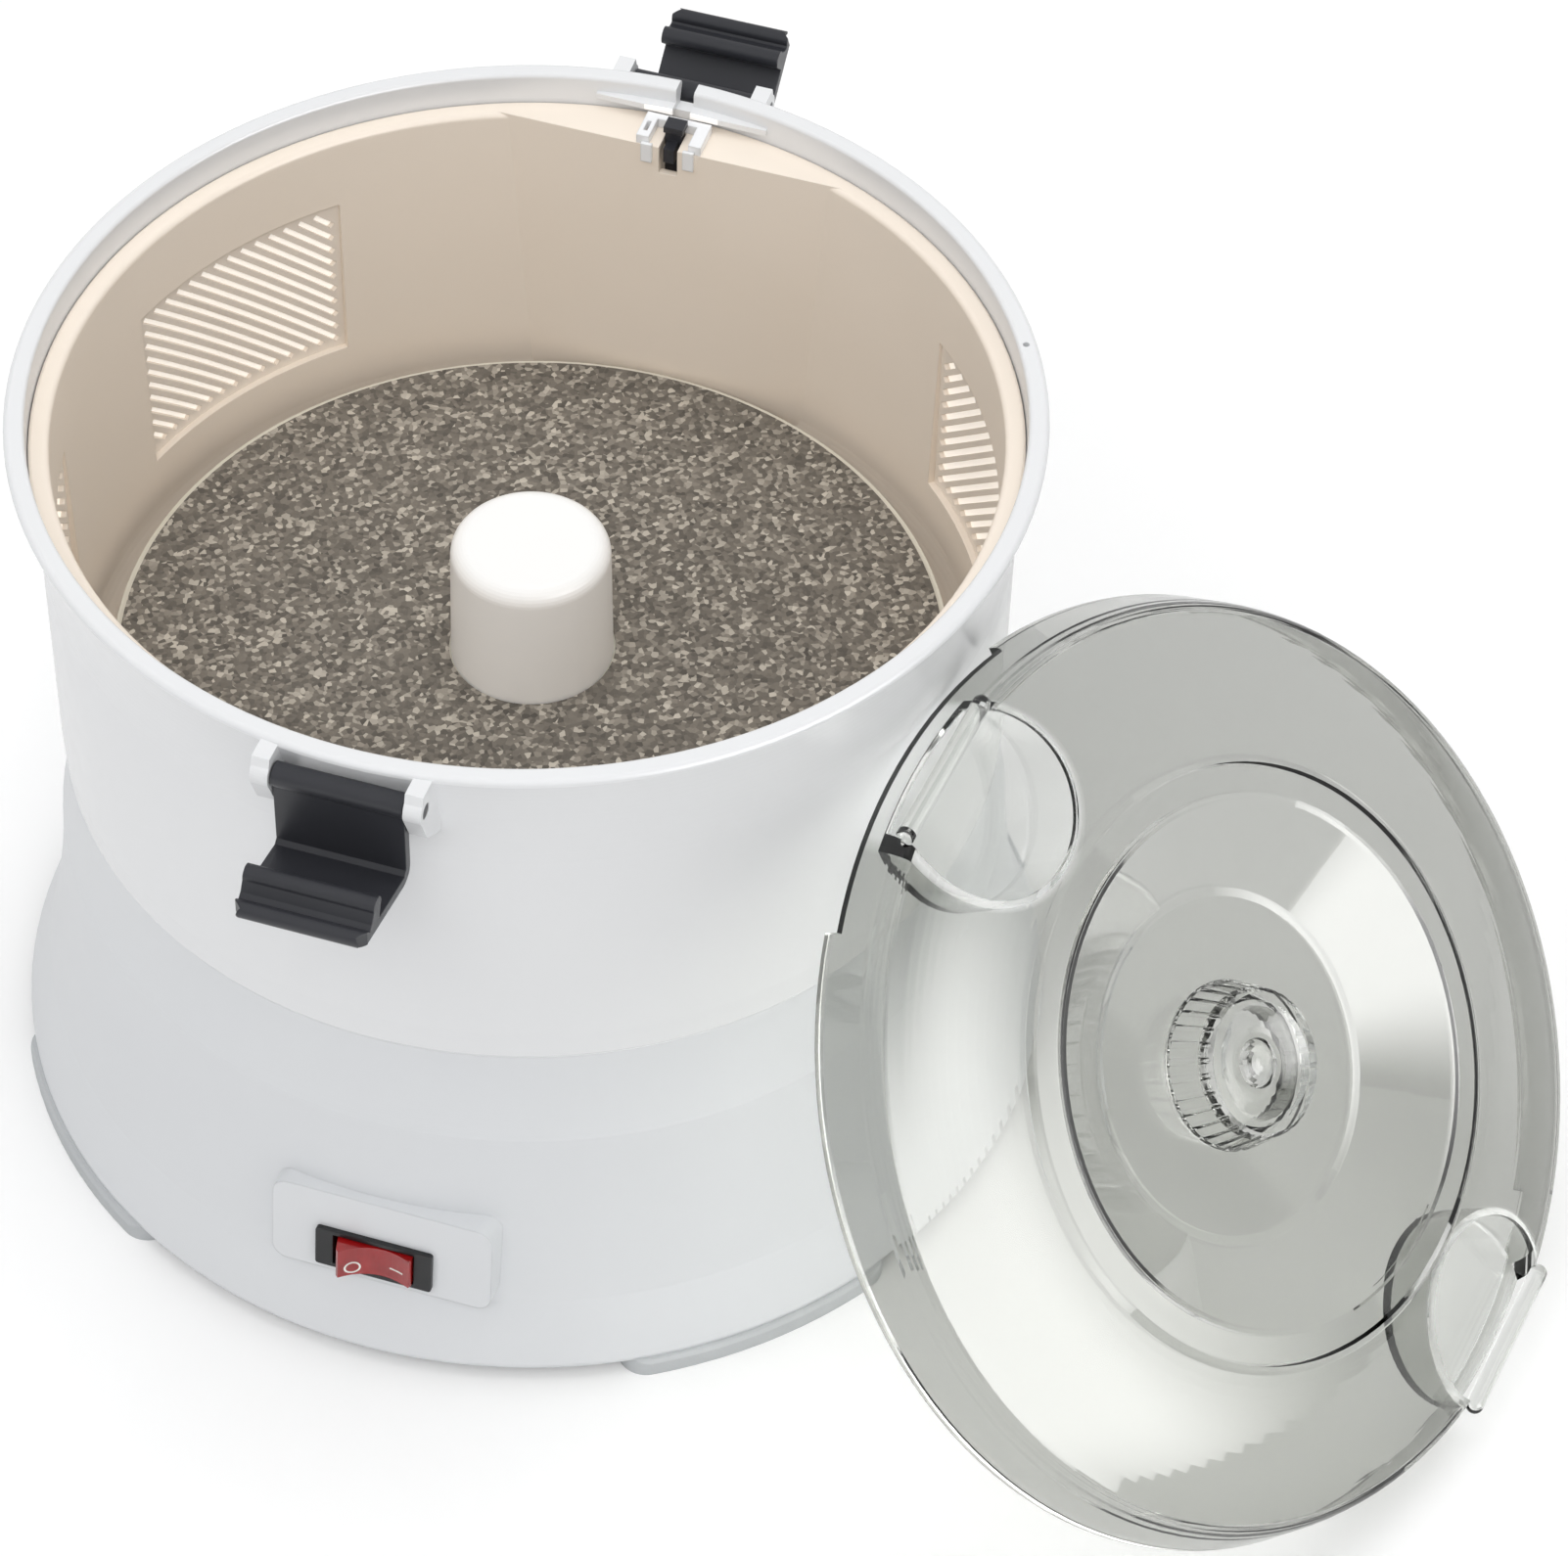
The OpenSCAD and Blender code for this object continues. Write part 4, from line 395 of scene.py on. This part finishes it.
def printMark(name, outline, inner, look):
    low = onRocker(outline)
    hole = onRocker(inner)
    bm = bmesh.new()
    rings = []
    for lift in (look["lift"], look["lift"] + look["thick"]):
        for part in (low, hole):
            rings.append([bm.verts.new(spot + normal * lift * mm) for spot, normal in part])
    count = len(outline)
    for i in range(count):
        j = (i + 1) % count
        for a, b in ((0, 2), (2, 3), (3, 1), (1, 0)):
            bm.faces.new((rings[a][i], rings[a][j], rings[b][j], rings[b][i]))
    bmesh.ops.recalc_face_normals(bm, faces=bm.faces)
    mesh = bpy.data.meshes.new(name)
    bm.to_mesh(mesh)
    bm.free()
    mark = addObject(name, mesh, markPaint)
    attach(mark, "rocker")
    return mark


# a plain white paint for the rocker's marks, printed a few hundredths thick
markPaint = mouldedPlastic("whitePadPrint", {
    "colour": "#F2F0EC", "shade": "#E9E6E0", "ior": 1.5, "roughness": 0.4, "roughnessSpread": 0.05,
    "driftMm": 3, "wearMm": 0.6, "edgeMm": 0.05, "peelMm": 0.3, "peelStrength": 0.2, "peelDepthMm": 0.01})


def circlePoints(middle, radius, steps):
    turns = [2 * math.pi * i / steps for i in range(steps)]
    return [(middle[0] + radius * math.cos(t), middle[1] + radius * math.sin(t)) for t in turns]


# points along a rectangle's edge, so many on each side that it follows the curved face
def barPoints(middle, size, steps):
    corners = [(middle[0] + size[0] * a / 2, middle[1] + size[1] * b / 2)
               for a, b in ((-1, -1), (1, -1), (1, 1), (-1, 1))]
    points = []
    for i in range(4):
        a, b = corners[i], corners[(i + 1) % 4]
        for k in range(steps // 4):
            t = k * 4 / steps
            points.append((a[0] + (b[0] - a[0]) * t, a[1] + (b[1] - a[1]) * t))
    return points


def printMarks(look):
    half = look["ringLine"] / 2
    printMark("markOff", circlePoints(look["ring"], look["ringRadius"] + half, look["steps"]),
              circlePoints(look["ring"], look["ringRadius"] - half, look["steps"]), look)
    long, wide = look["barSize"]
    slit = (long - wide * 0.9, wide * 0.1)  # the bar is a ring as well, with a core too thin to see
    printMark("markOn", barPoints(look["bar"], (long, wide), look["steps"]),
              barPoints(look["bar"], slit, look["steps"]), look)


printMarks(rockerMarks)
print("rocker marks printed")

# the interlock's spring: hard-drawn wire with closed ends, in millimetres
rodSpring = {"at": (0, 109.0), "low": 106.7, "long": 14.5, "radius": 3.2, "wire": 0.35, "turns": 7, "closed": 1,
             "steps": 24, "sides": 10, "press": 2.4}


# height of the wire's middle after some turns: nearly touching at both ends, evenly open between them
def coilHeight(turn, look):
    pitch = look["wire"] * 2.05
    middle = (look["long"] - 2 * look["wire"] - 2 * look["closed"] * pitch) / (look["turns"] - 2 * look["closed"])
    free = min(max(turn - look["closed"], 0), look["turns"] - 2 * look["closed"])
    return look["low"] + look["wire"] + pitch * (turn - free) + middle * free


def makeSpring(look):
    bm = bmesh.new()
    rings = []
    for i in range(look["turns"] * look["steps"] + 1):
        turn = i / look["steps"]
        a = 2 * math.pi * turn
        ring = []
        for k in range(look["sides"]):
            q = 2 * math.pi * k / look["sides"]
            r = look["radius"] + look["wire"] * math.cos(q)
            spot = (look["at"][0] + r * math.cos(a), look["at"][1] + r * math.sin(a),
                    coilHeight(turn, look) + look["wire"] * math.sin(q))
            ring.append(bm.verts.new(Vector(spot) * mm))
        rings.append(ring)
    for a, b in zip(rings, rings[1:]):
        for k in range(look["sides"]):
            j = (k + 1) % look["sides"]
            bm.faces.new((a[k], a[j], b[j], b[k])).smooth = True
    bm.faces.new(rings[0])
    bm.faces.new(rings[-1])
    bmesh.ops.recalc_face_normals(bm, faces=bm.faces)
    mesh = bpy.data.meshes.new("wireSpring")
    bm.to_mesh(mesh)
    bm.free()
    spring = addObject("wireSpring", mesh, turnedSteel)
    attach(spring, "bowl")
    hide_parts("interlock_spring")
    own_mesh(spring)
    return spring


makeSpring(rodSpring)
print("spring wound")

# lengths in metres; the floor's lift rises from near the object to far from it, so that it stays white behind
studio = {"floorColour": "#F4F4F4", "floorSize": 6.0, "worldStrength": 0.52, "nearLift": 0.12, "farLift": 0.75,
          "liftFrom": 0.45, "liftTo": 1.6, "fibreMm": 1.5, "fibreDepthMm": 0.05}


# the floor reads as plain white to the camera and still holds the object's shadow
def floorMaterial(look):
    material, tree, shader = startMaterial("whitePaperRoll", {"Base Color": hexColour(look["floorColour"]),
                                                              "Roughness": 0.9, "Specular IOR Level": 0.1})
    place = addNode(tree, "TexCoord").outputs["Object"]
    fibre = addNode(tree, "TexNoise", {"Scale": perMetre(look["fibreMm"]), "Detail": 3.0}, {"Vector": place})
    bump = addNode(tree, "Bump", {"Strength": 0.05, "Distance": look["fibreDepthMm"] * mm},
                   {"Height": fibre.outputs["Fac"]})
    tree.links.new(bump.outputs["Normal"], shader.inputs["Normal"])
    rays = addNode(tree, "LightPath")
    away = addNode(tree, "VectorMath", {"operation": "LENGTH"}, {0: place}).outputs["Value"]
    level = addNode(tree, "MapRange", {"From Min": look["liftFrom"], "From Max": look["liftTo"],
                                       "To Min": look["nearLift"], "To Max": look["farLift"]},
                    {"Value": away}).outputs["Result"]
    lift = addNode(tree, "Math", {"operation": "MULTIPLY"}, {0: rays.outputs["Is Camera Ray"], 1: level})
    paper = addNode(tree, "Emission", {"Color": (1, 1, 1, 1)}, {"Strength": lift.outputs["Value"]})
    both = addNode(tree, "AddShader", links={0: shader.outputs["BSDF"], 1: paper.outputs["Emission"]})
    tree.links.new(both.outputs["Shader"], onlyNode(tree, "OutputMaterial").inputs["Surface"])
    return material


def flatSheet(name, wide, tall, material):
    x, y = wide / 2, tall / 2
    mesh = bpy.data.meshes.new(name)
    mesh.from_pydata([(-x, -y, 0), (x, -y, 0), (x, y, 0), (-x, y, 0)], [], [(0, 1, 2, 3)])
    return addObject(name, mesh, material)


def makeFloor(look):
    floor = flatSheet("floor", look["floorSize"], look["floorSize"], floorMaterial(look))


makeFloor(studio)

# even air light on the object, and plain white where the camera or the clear lid looks past it
def makeAir(look):
    world = bpy.data.worlds.new("studioAir")
    bpy.context.scene.world = world
    world.use_nodes = True
    air = world.node_tree
    air.nodes.clear()
    glow = addNode(air, "Background", {"Color": (1, 1, 1, 1), "Strength": look["worldStrength"]})
    seen = addNode(air, "Background", {"Color": (1, 1, 1, 1), "Strength": 1.0})
    rays = addNode(air, "LightPath")
    either = addNode(air, "Math", {"operation": "MAXIMUM"}, {0: rays.outputs["Is Camera Ray"],
                                                            1: rays.outputs["Is Transmission Ray"]})
    both = addNode(air, "MixShader", links={0: either.outputs["Value"], 1: glow.outputs["Background"],
                                            2: seen.outputs["Background"]})
    addNode(air, "OutputWorld", links={"Surface": both.outputs["Shader"]})


makeAir(studio)

# softboxes that light the plastics evenly and don't show in their gloss
softboxes = {
    "keyBox": {"from": (-1.3, -0.9, 1.9), "at": (0, 0, 0.1), "size": (1.4, 1.0), "power": 5.0},
    "fillBox": {"from": (1.6, -0.8, 1.2), "at": (0.05, 0, 0.1), "size": (0.9, 1.4), "power": 3.0},
    "backBox": {"from": (0.3, 1.7, 1.5), "at": (0, 0, 0.15), "size": (1.6, 0.8), "power": 5.0},
    "topBox": {"from": (0, 0.2, 2.3), "at": (0, 0, 0.15), "size": (1.4, 1.4), "power": 14.0},
    "frontBox": {"from": (0.2, -1.5, 1.95), "at": (0, 0, 0.15), "size": (1.6, 1.0), "power": 13.0},
}


def hangSoftbox(name, box):
    lamp = bpy.data.lights.new(name, "AREA")
    lamp.shape = "RECTANGLE"
    lamp.size, lamp.size_y = box["size"]
    lamp.energy = box["power"]
    holder = bpy.data.objects.new(name, lamp)
    holder.visible_glossy = False
    bpy.context.collection.objects.link(holder)
    holder.location = box["from"]
    holder.rotation_euler = (Vector(box["at"]) - Vector(box["from"])).to_track_quat("-Z", "Y").to_euler()


for boxName, box in softboxes.items():
    hangSoftbox(boxName, box)

# a white card beside the lid that only shows in gloss; its light fades towards its edges
glossCard = {"from": (0.18, -0.05, 0.09), "turn": -24.0, "rise": 20.0, "away": 1.6, "size": (2.5, 2.3),
             "strength": 6.3, "fade": 0.8}


def cardMaterial(look):
    material = bpy.data.materials.new("diffusedCard")
    material.use_nodes = True
    tree = material.node_tree
    tree.nodes.clear()
    place = addNode(tree, "TexCoord").outputs["Object"]
    parts = addNode(tree, "SeparateXYZ", links={"Vector": place})
    falls = []
    for axis, size in zip("XY", look["size"]):
        reach = addNode(tree, "Math", {"operation": "ABSOLUTE"}, {0: parts.outputs[axis]})
        falls.append(addNode(tree, "MapRange", {
            "interpolation_type": "SMOOTHSTEP", "From Min": size / 2 - look["fade"], "From Max": size / 2,
            "To Min": 1.0, "To Max": 0.0}, {"Value": reach.outputs["Value"]}).outputs["Result"])
    fall = addNode(tree, "Math", {"operation": "MULTIPLY"}, {0: falls[0], 1: falls[1]})
    level = addNode(tree, "Math", {"operation": "MULTIPLY", 1: look["strength"]}, {0: fall.outputs["Value"]})
    shine = addNode(tree, "Emission", {"Color": (1, 1, 1, 1)}, {"Strength": level.outputs["Value"]})
    addNode(tree, "OutputMaterial", links={"Surface": shine.outputs["Emission"]})
    return material


def makeCard(look):
    turn, rise = math.radians(look["turn"]), math.radians(look["rise"])
    ahead = Vector((math.cos(rise) * math.cos(turn), math.cos(rise) * math.sin(turn), math.sin(rise)))
    card = flatSheet("glossCard", *look["size"], cardMaterial(look))
    card.matrix_world = Matrix.Translation(Vector(look["from"]) + ahead * look["away"]) @ \
        (-ahead).to_track_quat("Z", "Y").to_matrix().to_4x4()
    card.visible_diffuse = False
    card.visible_shadow = False
    card.visible_camera = False


makeCard(glossCard)
print("studio lit")

# a long lens from above the right front, tipped a little to the right
view = {"place": (0.3125, -0.8586, 1.0653), "aim": (-0.1880, 0.6519, -0.7346), "roll": 1.913, "lens": 123.54,
        "sensor": 36.0, "near": 0.05, "far": 30.0}


def makeCamera(values):
    camera = bpy.data.cameras.new("camera")
    camera.lens = values["lens"]
    camera.sensor_width = values["sensor"]
    camera.sensor_fit = "HORIZONTAL"
    camera.clip_start = values["near"]
    camera.clip_end = values["far"]
    holder = bpy.data.objects.new("camera", camera)
    bpy.context.collection.objects.link(holder)
    ahead = Vector(values["aim"]).normalized()
    right = ahead.cross(Vector((0, 0, 1))).normalized()
    up = right.cross(ahead)
    roll = math.radians(values["roll"])
    across = right * math.cos(roll) + up * math.sin(roll)
    upright = up * math.cos(roll) - right * math.sin(roll)
    turn = Matrix((across, upright, -ahead)).transposed().to_4x4()
    turn.translation = Vector(values["place"])
    holder.matrix_world = turn
    bpy.context.scene.camera = holder


makeCamera(view)
bpy.context.scene.view_settings.view_transform = "Standard"
print("camera set")
